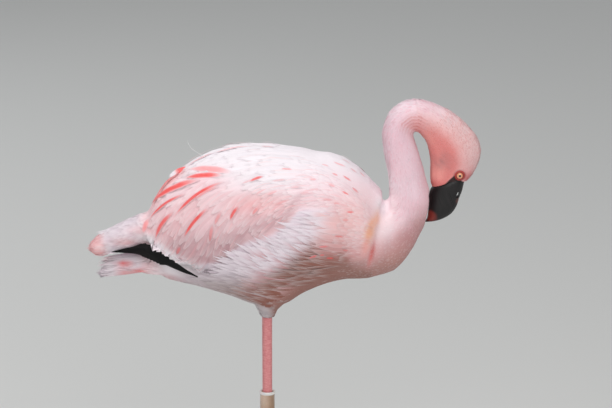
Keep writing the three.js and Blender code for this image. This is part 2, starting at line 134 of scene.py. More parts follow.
class Finish:
    """A material with one Principled shader. Its keywords are the shader's own fixed values."""

    def __init__(self, name, **fixed):
        self.material = bpy.data.materials.new(name)
        self.material.use_nodes = True
        self.tree = self.material.node_tree
        self.shader = self.tree.nodes["Principled BSDF"]
        for words, value in fixed.items():
            self.shader.inputs[words.replace("_", " ")].default_value = value

    def put(self, socket, value):
        if isinstance(value, Value):
            self.tree.links.new(value.socket, socket)
        elif hasattr(value, "__len__") and len(value) == 3 and socket.type == "RGBA":
            socket.default_value = (*value, 1)
        else:
            socket.default_value = value

    def node(self, kind, settings=None, inputs=None, output=0):
        made = self.tree.nodes.new("ShaderNode" + kind)
        for words, value in (settings or {}).items():
            if words == "stops":
                while len(made.color_ramp.elements) < len(value):
                    made.color_ramp.elements.new(0.5)
                for stop, (place, colour) in zip(made.color_ramp.elements, value):
                    stop.position, stop.color = place, (*colour, 1)
            else:
                setattr(made, words, value)
        for words, value in (inputs or {}).items():
            self.put(made.inputs[words], value)
        return Value(self, made.outputs[output])

    def mix(self, share, first, second):
        """Colours are mixed by a share between 0 and 1."""
        ends = {0: share, 6: first, 7: second}
        return self.node("Mix", {"data_type": "RGBA", "clamp_factor": True}, ends, 2)

    def place(self, scale=(1, 1, 1)):
        """Object coordinates, stretched by scale."""
        where = self.node("TexCoord", output="Object")
        return self.node("Mapping", inputs={"Vector": where, "Scale": scale})

    def noise(self, vector, scale, detail=3.0):
        return self.node("TexNoise", inputs={"Vector": vector, "Scale": scale, "Detail": detail})

    def parts(self, vector):
        """The x, the y and the z of a vector."""
        split = self.node("SeparateXYZ", inputs={"Vector": vector})
        return [Value(self, output) for output in split.socket.node.outputs]

    def paint(self, **links):
        for words, value in links.items():
            self.put(self.shader.inputs[words.replace("_", " ")], value)

    def bump(self, height, distance, strength=1.0):
        ends = {"Height": height, "Distance": distance, "Strength": strength}
        self.paint(Normal=self.node("Bump", inputs=ends))


def rgb(red, green, blue):
    """A colour from 0 to 255 as the shader's linear values."""
    share = np.array([red, green, blue]) / 255
    return tuple(np.where(share <= 0.04045, share / 12.92, ((share + 0.055) / 1.055) ** 2.4))


def finished(piece, finish, slot=None):
    """Links a piece and gives it its material. With any slot it rides on the bird; the name isn't kept."""
    if piece.name not in bpy.context.scene.collection.objects:
        bpy.context.scene.collection.objects.link(piece)
    piece.data.materials.clear()
    piece.data.materials.append(finish.material)
    piece.data.shade_smooth()
    if slot:
        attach(piece, "root")
    return piece


def piece_from(bm, name):
    mesh = bpy.data.meshes.new(name)
    bm.to_mesh(mesh)
    bm.free()
    return bpy.data.objects.new(name, mesh)


floor_paint = Finish("floor paint", Roughness=0.75)
floor_paint.paint(Base_Color=rgb(214, 214, 212))
bm = bmesh.new()
bmesh.ops.create_grid(bm, x_segments=1, y_segments=1, size=20)
floor = finished(piece_from(bm, "floor"), floor_paint)

# --- The lie and the colours of the plumage -------------------------------------------------------
# Feathers lie from the bill over the crown and down the neck, and from the shoulders back to the tail.
# Over the folded wing they sweep down in arcs, and the long flank feathers sweep up over its edge.

# The middle of the neck from its base to the root of the bill, and half its width.
NECK_LINE = np.array([
    (117, 0, 423, 50), (142, 0, 431, 45), (161, -1, 444, 38), (172, -2, 464, 30), (176, -3, 490, 25),
    (172, -3, 522, 23), (166, -2, 549, 21), (164, -1, 568, 20), (168, 0, 582, 20), (178, 1, 590, 20),
    (189, 2, 591, 21), (201, 4, 585, 22), (213, 5.5, 575, 23), (224, 7, 561, 26), (232, 8, 547, 28),
    (235, 9, 532, 28), (234, 9.5, 518, 26), (230, 9.5, 505, 22), (226, 10, 490, 20),
])
TRUNK_LINE = np.array([
    (-224, 0, 424, 14), (-190, 0, 428, 22), (-150, 0, 432, 34), (-100, 0, 446, 62), (-40, 0, 450, 88),
    (30, 0, 450, 92), (85, 0, 452, 84), (112, 0, 450, 66),
])
# Places on the side of the trunk and, in degrees, how far below level the feathers there point.
BODY_LIE = [
    (-75, 530, 8), (27, 535, -8), (85, 535, -25), (110, 508, -36), (100, 480, -4), (105, 440, -14),
    (110, 400, -20), (0, 352, -6), (-100, 392, 2), (-190, 440, 8), (-190, 395, 4),
]
WING_LIE = np.array(BODY_LIE + [
    (-50, 518, 17), (-80, 504, 33), (-110, 478, 54), (-143, 464, 56), (-105, 515, 30), (-138, 485, 42),
    (-70, 486, 43), (-100, 450, 60), (-137, 442, 66), (-40, 481, 56), (-62, 450, 68), (-70, 415, 66),
    (-3, 524, 14), (-9, 492, 48), (11, 472, 42), (29, 515, 10), (48, 488, 12), (30, 445, 34),
])
FLANK_LIE = np.array(BODY_LIE + [
    (45, 470, -6), (-10, 438, -34), (40, 440, -27), (72, 418, -22), (-25, 405, -22), (0, 380, -13),
    (-60, 380, -6),
])


def nearest_on_line(points, line, early=None, stretches=None):
    """For each point: how far along the line it is, its distance over the local radius, and a frame.

    The points of the mask early are looked for on the first stretches of the line alone."""
    start, end = line[:-1, :3] * MM, line[1:, :3] * MM
    run = end - start
    length = np.linalg.norm(run, axis=1)
    share = np.einsum("nsk,sk->ns", points[:, None] - start[None], run) / length**2
    share = np.clip(share, 0, 1)
    foot = start[None] + share[..., None] * run[None]
    radius = (line[:-1, 3] + share * (line[1:, 3] - line[:-1, 3])) * MM
    distance = np.linalg.norm(points[:, None] - foot, axis=2) / radius
    if early is not None:
        distance[early, stretches:] = np.inf
    best = distance.argmin(1)
    row = np.arange(len(points))
    along = (np.concatenate([[0], np.cumsum(length)])[best] + share[row, best] * length[best]) / MM
    heading = run[best] / length[best, None]
    following = np.roll(run / length[:, None], -1, 0)
    following[-1] = run[-1] / length[-1]
    heading = heading + share[row, best][:, None] * 0.5 * (following[best] - heading)
    heading /= np.linalg.norm(heading, axis=1)[:, None]
    return along, distance[row, best], heading, points - foot[row, best]


def smooth_step(value, low, high):
    share = np.clip((value - low) / (high - low), 0, 1)
    return share * share * (3 - 2 * share)


def neck_share(points):
    """1 on the neck and head, 0 on the trunk, with what nearest_on_line says of the neck."""
    x, _, z = (points / MM).T
    below_bend = ((z < 493) & (x < 209)) | ((z < 522) & (x < 202.5))
    along, reach, heading, offset = nearest_on_line(points, NECK_LINE, below_bend, 9)
    trunk_reach = nearest_on_line(points, TRUNK_LINE)[1]
    return smooth_step(trunk_reach - reach, -0.12, 0.3), along, heading, offset


def outer_side(heading, offset):
    """Round the neck: 1 on the nape and crown, the outside of its bend, and -1 on the throat."""
    outwards = np.stack([-heading[:, 2], np.zeros(len(heading)), heading[:, 0]], 1)
    return np.einsum("nk,nk->n", offset, outwards) / np.maximum(np.linalg.norm(offset, axis=1), 1e-6)


def lie(points, normals, table=FLANK_LIE):
    """The direction in which a feather points, along the surface."""
    share, _, heading, _ = neck_share(points)
    place = np.stack([points[:, 0], points[:, 2]], 1) / MM
    away = np.linalg.norm(place[:, None] - table[None, :, :2], axis=2)
    weight = 1 / (away**2 + 13**2) ** 2
    drop = np.radians((weight * table[:, 2]).sum(1) / weight.sum(1))
    back = np.stack([-np.cos(drop), np.zeros(len(drop)), -np.sin(drop)], 1)
    way = share[:, None] * -heading + (1 - share[:, None]) * back
    way -= normals * np.einsum("nk,nk->n", way, normals)[:, None]
    return way / np.maximum(np.linalg.norm(way, axis=1), 1e-9)[:, None]


WHITE = rgb(242, 235, 241)
BLUSH = rgb(246, 224, 230)
PINK = rgb(240, 192, 197)
# A dusky pink used as painted shade and shadow on the wing.
DUSKY_SHADE = rgb(194, 150, 157)
LILAC = rgb(240, 227, 237)
# A darker pink for painted shade low on the flank.
LOW_FLANK_SHADE = rgb(212, 162, 168)
# The brown of the belly is painted shade, with a painted brown reflection from below.
BELLY_SHADE = rgb(138, 84, 68)
APRICOT = rgb(255, 184, 148)
ROSE = rgb(238, 158, 160)
NECK_PINK = rgb(240, 208, 219)
# A paler pink for the nape, partly its own colour and partly painted light.
LIT_NAPE = rgb(247, 228, 236)
SALMON = rgb(252, 217, 217)
CORAL = rgb(238, 130, 124)
SCARLET = rgb(247, 78, 74)
DARK_RED = rgb(150, 40, 42)
EYE_PLACE = np.array([240.2, 514])  # in side view

# The fold where the neck lies against the shoulder: its x at each height.
FOLD = ((388, 131), (408, 136), (434, 141), (460, 146), (482, 149))
# The lower edge of the folded wing in side view.
WING_EDGE = (
    (-157, 452), (-152, 436), (-112, 409), (-84, 397), (-52, 396), (45, 400), (102, 408), (125, 420),
    (136, 445),
)
# The ragged upper edge of the flank feathers over the wing: its height at each x.
FLANK_EDGE = (
    (-90, 388), (-82, 404), (-54, 407), (-46, 418), (-34, 428), (-24, 434), (0, 440), (22, 452),
    (41, 477),
)
# The upper edge of the painted brown shade on the belly: its level at each x.
BELLY_EDGE = (
    (-60, 342), (-20, 346), (15, 362), (41, 381), (66, 405), (91, 419), (108, 402), (130, 398), (165, 416),
)
# The rear edge of the wings as it is seen from the side: x at each level.
RUMP_EDGE = ((478, -147), (500, -128), (520, -107))
# Where the feathers of the face end at the dark skin before the eye: the height at each x in side view.
LORE_EDGE = (
    (196, 493), (205, 496.5), (218, 502), (224.5, 506), (230, 511), (234, 515), (236.5, 514), (239, 509.5),
    (243, 507), (248, 501.5), (262, 499),
)


def blend(under, over, share):
    return under + (np.asarray(over) - under) * share[:, None]


def blotch(points, size, seed):
    """A smooth random pattern between 0 and 1, from a few crossed waves."""
    waves = np.random.default_rng(seed).normal(size=(7, 3)) / (size * MM)
    starts = np.random.default_rng(seed + 1).uniform(0, 6.28, 7)
    return 0.5 + 0.5 * np.tanh(np.sin(points @ waves.T + starts).sum(1) * 0.5)


def read_off(value, table):
    """The second column of a short table at a value of the first one."""
    return np.interp(value, *np.array(table).T)


def spot(across, up, middle, size):
    """1 at a place in side view, falling off on all sides over a size along and up."""
    return np.exp(-(((across - middle[0]) / size[0]) ** 2) - ((up - middle[1]) / size[1]) ** 2)


SLOPE = 0.268  # how far a place seems to drop for each millimetre that it lies to the side


def seen_level(y, z):
    """The height at which a place shows in side view, seen from a little above."""
    return z - SLOPE * np.abs(y)


def trunk_colours(points, x, y, z, level):
    """White on the back, pink over the wings with painted shade behind, and white along their edge."""
    colour = np.tile(np.asarray(BLUSH), (len(points), 1))
    colour = blend(colour, WHITE, smooth_step(level, 476, 512))
    shoulder = smooth_step(x, 5, 50) * smooth_step(level, 536, 494) * smooth_step(level, 440, 470)
    colour = blend(colour, rgb(247, 208, 216), 0.5 * shoulder * (0.6 + 0.4 * blotch(points, 12, 19)))
    mid_wing = smooth_step(level, 500, 470) * smooth_step(x, 70, -10)
    colour = blend(colour, PINK, mid_wing * (0.6 + 0.4 * blotch(points, 15, 5)))
    colour = blend(colour, rgb(236, 170, 170), 0.5 * spot(x, level, (-6, 476), (34, 13)))
    rump = spot(x, level, (-82, 502), (42, 17))
    colour = blend(colour, rgb(246, 190, 197), 0.6 * rump)
    # Dusky pink at the rear of the wing: partly its own colour, partly painted shade.
    rear_wing = smooth_step(level, 462, 410) * smooth_step(x, 10, -40) * smooth_step(x, -150, -110)
    colour = blend(colour, DUSKY_SHADE, 0.85 * rear_wing)
    wing_rim = np.exp(-(((x - read_off(level, RUMP_EDGE)) / 8) ** 2)) * smooth_step(level, 468, 480)
    colour = blend(colour, rgb(240, 138, 136), 0.75 * wing_rim * smooth_step(level, 526, 516))
    at_edge = smooth_step(z - read_off(x, WING_EDGE), 16, 6) * smooth_step(np.abs(y), 14, 24)
    return blend(colour, WHITE, 0.95 * at_edge * smooth_step(x, -60, -75))


def flank_colours(colour, x, level):
    """Lilac flank plumes, with a painted shadow of their tips on the wing and painted shade low down."""
    over_plumes = level - read_off(x, FLANK_EDGE)
    # A painted shadow of the flank plume tips on the wing just above them.
    plume_tip_shadow = np.exp(-(((over_plumes - 6) / 12) ** 2)) * smooth_step(x, 55, 25) * smooth_step(x, -75, -50)
    colour = blend(colour, DUSKY_SHADE, 0.6 * plume_tip_shadow)
    flank = smooth_step(over_plumes, -3, -12) * smooth_step(x, 110, 78) * smooth_step(x, -94, -84)
    colour = blend(colour, LILAC, flank * np.maximum(smooth_step(level, 395, 440), smooth_step(x, 10, -25)))
    # Low down the flank turns greyer at the rear and a darker pink in front: painted shade.
    low_rear_shade = flank * smooth_step(level, 425, 395) * smooth_step(x, 20, -20)
    colour = blend(colour, rgb(214, 200, 212), low_rear_shade)
    colour = blend(colour, LOW_FLANK_SHADE, flank * smooth_step(level, 430, 395) * smooth_step(x, -20, 25))
    colour = blend(colour, rgb(222, 166, 168), 0.8 * spot(x, level, (90, 448), (17, 26)))
    colour = blend(colour, rgb(232, 184, 188), 0.85 * smooth_step(level, 445, 404) * smooth_step(x, 70, 105))
    # Painted shade, greyer and then browner towards the bottom at the rear.
    shaded_side = smooth_step(level, 402, 384) * smooth_step(x, -125, -95) * smooth_step(x, 30, -10)
    colour = blend(colour, rgb(196, 182, 190), 0.9 * shaded_side)
    bottom_shade = smooth_step(level, 382, 358) * smooth_step(x, -120, -90) * smooth_step(x, 30, -10)
    return blend(colour, rgb(168, 150, 150), 0.85 * bottom_shade)


def belly_colours(colour, x, z, level):
    """The belly is painted brown as shade and reflection from below; the down of the thigh is grey."""
    over_belly = level - read_off(x, BELLY_EDGE)
    # Painted shade: a pinker band where it begins, then brown with a reflection from below.
    colour = blend(colour, rgb(206, 146, 146), 0.8 * smooth_step(over_belly, 34, 6) * smooth_step(x, 0, 50))
    colour = blend(colour, BELLY_SHADE, 0.95 * smooth_step(over_belly, 12, -16) * smooth_step(x, -60, 10))
    sock = smooth_step(z, 357, 346) * smooth_step(np.abs(x), 26, 18)
    return blend(colour, rgb(196, 188, 192), 0.9 * sock * smooth_step(x, 12, -2))


def fold_colours(colour, points, x, y, level, to_fold):
    """A warm glow, an apricot patch and some painted light on the shoulder, by the fold of the neck."""
    glow = spot(x, level, (108, 452), (30, 34)) * smooth_step(np.abs(y), 12, 34)
    colour = blend(colour, rgb(255, 200, 196), 0.6 * glow)
    on_side = smooth_step(np.abs(y), 16, 34)
    slant = 0.3 * np.maximum(level - 444, 0)
    patch = np.exp(-(((to_fold + 14 - slant) / 6) ** 2) - ((level - 444) / 20) ** 2) * on_side
    # A paler spot where light falls on the shoulder beside the fold: painted light.
    colour = blend(colour, WHITE, 0.8 * spot(x, level, (143, 474), (9, 15)))
    colour = blend(colour, APRICOT, np.clip(1.4 * patch, 0, 1) * (0.75 + 0.25 * blotch(points, 5, 13)))
    under_patch = spot(to_fold, level, (-15, 419), (5, 11)) * on_side
    colour = blend(colour, rgb(244, 146, 138), 0.55 * under_patch)
    streak = spot(to_fold, level, (-6, 412), (3.2, 13))
    return blend(colour, rgb(228, 96, 88), np.clip(streak, 0, 0.9))


def tail_colours(colour, x, z, level):
    """The tail is white with a pink patch, and rosy at its end and underneath."""
    tail = smooth_step(x, -150, -165)
    colour = blend(colour, rgb(220, 206, 216), tail)
    pink_patch = 0.6 * spot(x, z, (-176, 432), (17, 6)) + 0.45 * spot(x, level, (-158, 441), (16, 7))
    colour = blend(colour, ROSE, pink_patch)
    rosy_end = smooth_step(x + 0.25 * (z - 424), -198, -210) * smooth_step(z, 399, 405)
    colour = blend(colour, ROSE, tail * rosy_end)
    colour = blend(colour, rgb(250, 216, 218), 0.85 * tail * spot(x, z, (-208, 424), (6.5, 5.5)))
    colour = blend(colour, WHITE, 0.8 * spot(x, level, (-168, 406), (28, 7)))
    for middle in ((-178, 401), (-160, 392)):
        colour = blend(colour, rgb(240, 96, 98), spot(x, z, middle, (9, 3.6)))
    under_side = smooth_step(x, -120, -150) * smooth_step(x, -196, -178)
    under_side *= smooth_step(z + 0.25 * (x + 150), 393, 380)
    colour = blend(colour, ROSE, 0.8 * under_side)
    return blend(colour, WHITE, 0.6 * spot(x, level, (-128, 388), (20, 6)))


def neck_colours(points, x, z, level, outer):
    """Pink neck, paler on the nape partly as painted light, with painted shade in front and low down."""
    neck = np.tile(np.asarray(NECK_PINK), (len(points), 1))
    # Paler on the nape and the outside of the bend, where light falls: partly painted light.
    neck = blend(neck, LIT_NAPE, 0.8 * smooth_step(outer, 0.1, 0.95) * smooth_step(z, 480, 510))
    neck = blend(neck, rgb(238, 184, 197), 0.4 * blotch(points, 9, 9))
    neck = blend(neck, rgb(230, 186, 200), 0.55 * spot(x, z, (160, 570), (15, 24)))
    # Darker on the front and low down, towards the shoulder and breast: painted shade.
    neck = blend(neck, rgb(222, 172, 180), 0.6 * smooth_step(outer, -0.3, -0.9) * smooth_step(z, 540, 495))
    neck = blend(neck, rgb(196, 136, 134), 0.9 * smooth_step(outer, 0.3, -0.7) * smooth_step(z, 500, 438))
    neck = blend(neck, rgb(188, 124, 126), 0.8 * smooth_step(level, 466, 430) * smooth_step(x, 142, 168))
    return blend(neck, rgb(176, 118, 108), 0.85 * smooth_step(level, 440, 396))


def head_colours(neck, points, x, z, along, outer):
    """Salmon head, paler crown, coral throat, and painted shade in the creases inside the bend."""
    past_bend = along - 26 * outer
    neck = blend(neck, SALMON, smooth_step(past_bend, 178, 252))
    neck = blend(neck, CORAL, smooth_step(past_bend, 176, 285) * smooth_step(outer, 1.05, -0.2))
    # Thin darker red lines inside the bend are painted shade in the creases of the neck.
    crease_shade = (0.5 + 0.5 * np.sin(outer * 30 + 3 * blotch(points, 22, 3))) ** 2
    crease_shade *= 0.35 + 0.65 * blotch(points, 6, 17)
    in_bend = smooth_step(along, 176, 196) * smooth_step(along, 240, 214) * smooth_step(outer, 0.35, -0.05)
    inner_side = smooth_step(along, 184, 200) * smooth_step(outer, 0.1, -0.7)
    neck = blend(neck, rgb(228, 112, 106), 0.4 * inner_side)
    neck = blend(neck, rgb(212, 92, 88), 0.85 * crease_shade * in_bend)
    on_head = smooth_step(along, 225, 245)
    neck = blend(neck, rgb(255, 164, 154), 0.9 * on_head * smooth_step(outer, -0.35, -0.85))
    cheek = spot(x, z, (219, 533), (13, 11))
    neck = blend(neck, rgb(156, 84, 86), 0.85 * on_head * cheek * (0.5 + 0.5 * blotch(points, 2.5, 7)))
    neck = blend(neck, rgb(230, 96, 92), 0.5 * on_head * spot(x, z, (209, 545), (9, 15)))
    by_bill = smooth_step(z, 512, 499) * smooth_step(x, 232, 218)
    neck = blend(neck, rgb(233, 88, 84), 0.75 * on_head * by_bill)
    neck = blend(neck, rgb(226, 96, 98), 0.8 * on_head * spot(x, z, (251, 507), (9, 13)))
    from_eye = np.hypot(x - EYE_PLACE[0], z - EYE_PLACE[1])
    neck = blend(neck, DARK_RED, 0.9 * smooth_step(from_eye, 8.8, 5.6) * on_head)
    before_eye = smooth_step(read_off(x, LORE_EDGE) - z, -0.4, 0.5) * smooth_step(x, 222, 226)
    return blend(neck, rgb(46, 36, 37), 0.97 * on_head * before_eye)


def plumage(points):
    """The colour of the plumage, and of the skin under it, at each point."""
    x, y, z = (points / MM).T
    level = seen_level(y, z)
    to_fold = x - read_off(level, FOLD)
    colour = trunk_colours(points, x, y, z, level)
    colour = flank_colours(colour, x, level)
    colour = belly_colours(colour, x, z, level)
    colour = fold_colours(colour, points, x, y, level, to_fold)
    colour = tail_colours(colour, x, z, level)
    share, along, heading, offset = neck_share(points)
    outer = outer_side(heading, offset)
    neck = neck_colours(points, x, z, level, outer)
    neck = head_colours(neck, points, x, z, along, outer)
    share = np.where(level < 482, share * smooth_step(to_fold, -2, 2.5), share)
    return np.clip(blend(colour, neck, share), 0, 1)


# --- Skin -----------------------------------------------------------------------------------------
# One skin over the trunk, neck, head, folded wings, tail and thigh. It lies inside the outline of the
# plumage by the depth of the coat, and carries the same colours.

FLESH = ("trunk", "neck_lower", "neck_middle", "neck_upper", "head", "right_wing", "left_wing",
         "tail", "undertail", "right_thigh")


def swollen_copy(nodes, by, above=None):
    """The solids of some nodes in one mesh, each grown a little, and cut off below the height above."""
    whole = bmesh.new()
    for node in nodes:
        part = bmesh.new()
        part.from_mesh(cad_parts[node].data)
        bmesh.ops.remove_doubles(part, verts=part.verts, dist=0.01 * MM)
        part.normal_update()
        for vert in part.verts:
            vert.co += vert.normal * by
        if above is not None:
            everything = part.verts[:] + part.edges[:] + part.faces[:]
            bmesh.ops.bisect_plane(
                part, geom=everything, plane_co=(0, 0, above), plane_no=(0, 0, 1), clear_inner=True
            )
            bmesh.ops.holes_fill(part, edges=[edge for edge in part.edges if edge.is_boundary], sides=0)
        joined = bpy.data.meshes.new("part of " + node)
        part.to_mesh(joined)
        part.free()
        whole.from_mesh(joined)
        bpy.data.meshes.remove(joined)
    return whole


def remeshed(bm, voxel):
    """The outer shell of a mesh, made again from even cells."""
    rough = piece_from(bm, "rough")
    bpy.context.scene.collection.objects.link(rough)
    remesh = rough.modifiers.new("cells", "REMESH")
    remesh.mode = "VOXEL"
    remesh.voxel_size = voxel
    shell = bmesh.new()
    shell.from_object(rough, bpy.context.evaluated_depsgraph_get())
    bpy.data.objects.remove(rough)
    left, islands = set(shell.verts), []
    while left:
        edge = [left.pop()]
        island = set(edge)
        while edge:
            vert = edge.pop()
            for link in vert.link_edges:
                other = link.other_vert(vert)
                if other in left:
                    left.discard(other)
                    island.add(other)
                    edge.append(other)
        islands.append(island)
    islands.sort(key=len)
    loose = [vert for island in islands[:-1] for vert in island]
    bmesh.ops.delete(shell, geom=loose, context="VERTS")
    return shell


def read_points(mesh):
    points = np.empty(len(mesh.vertices) * 3, np.float32)
    mesh.vertices.foreach_get("co", points)
    return points.reshape(-1, 3).astype(float)


def read_normals(mesh):
    normals = np.empty(len(mesh.vertices) * 3, np.float32)
    mesh.vertices.foreach_get("normal", normals)
    return normals.reshape(-1, 3).astype(float)


def set_points(mesh, points):
    mesh.vertices.foreach_set("co", points.ravel())
    mesh.update()


def relaxed(mesh, rounds, steps=(0.6, -0.61), weight=1.0):
    """Moves points towards the mean of their neighbours. A second, negative step keeps the volume."""
    points = read_points(mesh)
    edges = np.empty(len(mesh.edges) * 2, np.int32)
    mesh.edges.foreach_get("vertices", edges)
    one, two = edges.reshape(-1, 2).T
    count = len(points)
    degree = np.bincount(one, minlength=count) + np.bincount(two, minlength=count)
    for _ in range(rounds):
        for step in steps:
            mean = np.stack([
                np.bincount(one, points[two, axis], count) + np.bincount(two, points[one, axis], count)
                for axis in range(3)
            ], 1) / degree[:, None]
            points = points + np.reshape(step * weight, (-1, 1)) * (mean - points)
    set_points(mesh, points)
    return points


SKIN_CELL = 2.0 * MM
SWELL = 0.5 * MM  # the solids grow by this much, so that they run together
# The front edge of the wing: its x at each height.
WING_FRONT = ((400, 104), (440, 134), (465, 134), (500, 116), (528, 82), (548, 40))
SOCK_END = 332.5  # the down of the thigh ends at this height
BILL_ROOT = 494 * MM  # the skin ends at this height inside the horn of the bill
# Where the face feathers end on the bill: its height at each x in side view.
BILL_EDGE = (
    (196, 493), (205, 495), (218, 500), (225, 504), (231, 508.5), (237, 510.5), (241, 507), (246, 501),
    (262, 499),
)


def under_down(points):
    """1 where the down of flank, shoulder and breast hides the lower and the front edge of the wing."""
    x, y, z = (points / MM).T
    under_flank = smooth_step(x, -66, -30) * smooth_step(z, 452, 428) * smooth_step(z, 352, 372)
    at_shoulder = smooth_step(x, 98, 122) * smooth_step(z, 560, 530) * smooth_step(x, 172, 150)
    at_shoulder *= smooth_step(np.abs(y), 18, 32)
    at_front = smooth_step(np.abs(x - read_off(z, WING_FRONT)), 34, 14)
    at_front *= np.maximum(smooth_step(np.abs(y), 6, 18), smooth_step(z, 498, 514))
    at_front *= smooth_step(x, 128, 112)
    return np.maximum(np.maximum(under_flank, at_shoulder), at_front)


flesh = swollen_copy(FLESH + ("eye_right", "eye_left"), SWELL)
root = piece_from(swollen_copy(("upper_bill", "lower_bill"), SWELL, BILL_ROOT), "root of the bill")
flesh.from_mesh(root.data)
bpy.data.objects.remove(root)
skin = piece_from(remeshed(flesh, SKIN_CELL), "skin")
skin_points = relaxed(skin.data, 24)
skin_points = relaxed(skin.data, 90, (0.6,), under_down(skin_points))

# How far the breast and the belly hang below the solids under them, at each x.
UNDERSIDE = (
    (64, 0), (85, 0.5), (100, 1.2), (126, 4.8), (145, 5.2), (157, 5.4), (164, 3.9), (172, 2.2), (180, 0.8),
    (190, 0),
)
NOTCH = 148.5  # x of the notch between the neck and the shoulder


def coat_depth(points, normals):
    """How deep the skin lies, in millimetres. It draws back further under the horn of the bill."""
    share, along, heading, offset = neck_share(points)
    x, y, z = (points / MM).T
    level = seen_level(y, z)
    outer = outer_side(heading, offset)
    depth = 3.6 - 2.4 * share
    on_bend = smooth_step(along, 165, 200) * smooth_step(along, 262, 225)
    depth += 1.6 * share * on_bend * smooth_step(outer, 0.3, 0.9)
    # The front of the neck bulges against the bill.
    bulge = 7.2 * np.exp(-(((z - 482) / 23) ** 2)) * smooth_step(x, 176, 199) * smooth_step(along, 140, 118)
    depth -= share * bulge
    # Over the back the neck and the shoulder close in on a sharp notch.
    from_notch = x - NOTCH
    beside_notch = np.exp(-((from_notch / 14) ** 2)) * smooth_step(np.abs(from_notch), 1.5, 7)
    beside_notch *= smooth_step(z, 470, 484) * smooth_step(z, 540, 494) * smooth_step(np.abs(y), 44, 14)
    depth -= (6.5 - 2 * (from_notch > 0)) * beside_notch
    # The belly hangs fuller round the leg, and the sock is thick.
    round_leg = np.exp(-(((x - 17) / np.where(x < 17, 50, 21)) ** 2)) * smooth_step(z, 376, 358)
    sock = smooth_step(z, 354, 339) * smooth_step(np.abs(x), 36, 22)
    depth -= 7.5 * round_leg * smooth_step(y, 32, 14) * (1 - sock) + 2.4 * sock
    downwards = smooth_step(-normals[:, 2], 0.1, 0.6) * smooth_step(z, 450, 430)
    depth -= read_off(x, UNDERSIDE) * downwards
    # The undertail coverts narrow before they spread to their tip.
    waist = 5 * np.exp(-(((x + 166) / 9) ** 2)) * smooth_step(-normals[:, 2], 0.3, 0.8)
    depth += waist * smooth_step(z, 404, 394)
    # A loose feather bridges a hollow on the rump.
    depth += 3.5 * spot(x, level, (-107, 513), (9, 5))
    # A fold runs down between the neck and the shoulder, and the neck rises beside it.
    to_fold = x - read_off(level, FOLD)
    on_sides = smooth_step(np.abs(y), 12, 24) * smooth_step(level, 392, 412) * smooth_step(level, 484, 470)
    depth += on_sides * (2.0 * np.exp(-((to_fold / 3.6) ** 2)) - 1.2 * np.exp(-(((to_fold - 8) / 5) ** 2)))
    under_bill = smooth_step(read_off(x, BILL_EDGE) - z, 0.2, 2.2) * (x > 198)
    return depth + 3.5 * under_bill


skin_normals = read_normals(skin.data)
skin_points = skin_points - skin_normals * (coat_depth(skin_points, skin_normals) * MM)[:, None]
neck_part, neck_along, _, _ = neck_share(skin_points)
on_top = neck_part * smooth_step(neck_along, 150, 195) * smooth_step(neck_along, 262, 222)
skin_points += on_top[:, None] * [-1.4 * MM, 0, -1.2 * MM]
skin_points[:, 2] = np.maximum(skin_points[:, 2], SOCK_END * MM)
# The front of the neck is pressed flat beside the bill, and clear of it.
on_neck = (neck_part > 0.3) & (neck_along < 150)
front_limit = (203.4 - 7 * smooth_step(skin_points[:, 1] / MM, -10, -2.5)) * MM
skin_points[:, 0] = np.where(on_neck, np.minimum(skin_points[:, 0], front_limit), skin_points[:, 0])
set_points(skin.data, skin_points)
by_bill = smooth_step(skin_points[:, 0] / MM, 184, 190) * smooth_step(skin_points[:, 2] / MM, 440, 452)
relaxed(skin.data, 30, weight=by_bill * on_neck)
skin_points = read_points(skin.data)


def give_colours(mesh, colours):
    """Gives a mesh a colour at each of its points."""
    layer = mesh.color_attributes.new("plumage", "FLOAT_COLOR", "POINT")
    opaque = np.hstack([colours, np.ones((len(colours), 1))])
    layer.data.foreach_set("color", opaque.astype(np.float32).ravel())


give_colours(skin.data, plumage(skin_points))
skin_finish = Finish("downy skin", Roughness=0.9)
down = skin_finish.noise(skin_finish.place(), 900)
shade = skin_finish.node("Attribute", {"attribute_name": "plumage"}, output="Color")
light = skin_finish.parts(shade)[0].rise(0.05, 0.4)
skin_finish.paint(Base_Color=skin_finish.mix(0.25 * down * light, shade, rgb(255, 236, 236)))
skin_finish.bump(down, 0.3 * MM)
finished(skin, skin_finish, "plumage")
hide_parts(*FLESH)

skin_tree = BVHTree.FromPolygons(
    [Vector(place) for place in skin_points], [tuple(face.vertices) for face in skin.data.polygons]
)


def on_skin(places):
    """The nearest point of the skin to each place, and its normal there."""
    found = [skin_tree.find_nearest(place) for place in places.tolist()]
    return np.array([hit[0][:] for hit in found]), np.array([hit[1][:] for hit in found])


# --- Coat -----------------------------------------------------------------------------------------
# Every feather is a thin curved vane that starts in the skin, follows its lie, and rises a little
# towards its frayed tip, so that each row covers the roots of the next.

skin.data.calc_loop_triangles()
triangles = np.empty(len(skin.data.loop_triangles) * 3, np.int32)
skin.data.loop_triangles.foreach_get("vertices", triangles)
corners = skin_points[triangles.reshape(-1, 3)]
tri_normals = np.cross(corners[:, 1] - corners[:, 0], corners[:, 2] - corners[:, 0])
tri_area = np.linalg.norm(tri_normals, axis=1) / 2
tri_middle = corners.mean(1)
COARSE = 1.0
TRIES = 2.8  # places tried for each feather that would fit
CLOSE = 0.84  # how close two roots may come, as a share of the gap
ROOT_HEIGHT = -0.3 * MM  # a shaft starts a little under the skin
HIGHEST = 12 * MM  # how far a feather may stand off before it is drawn back


def unit(vectors):
    return vectors / np.maximum(np.linalg.norm(vectors, axis=-1, keepdims=True), 1e-12)


def sized(value, points):
    """A size in millimetres, or a function of the place that gives it, as metres at each point."""
    return (value(points) if callable(value) else np.full(len(points), float(value))) * MM


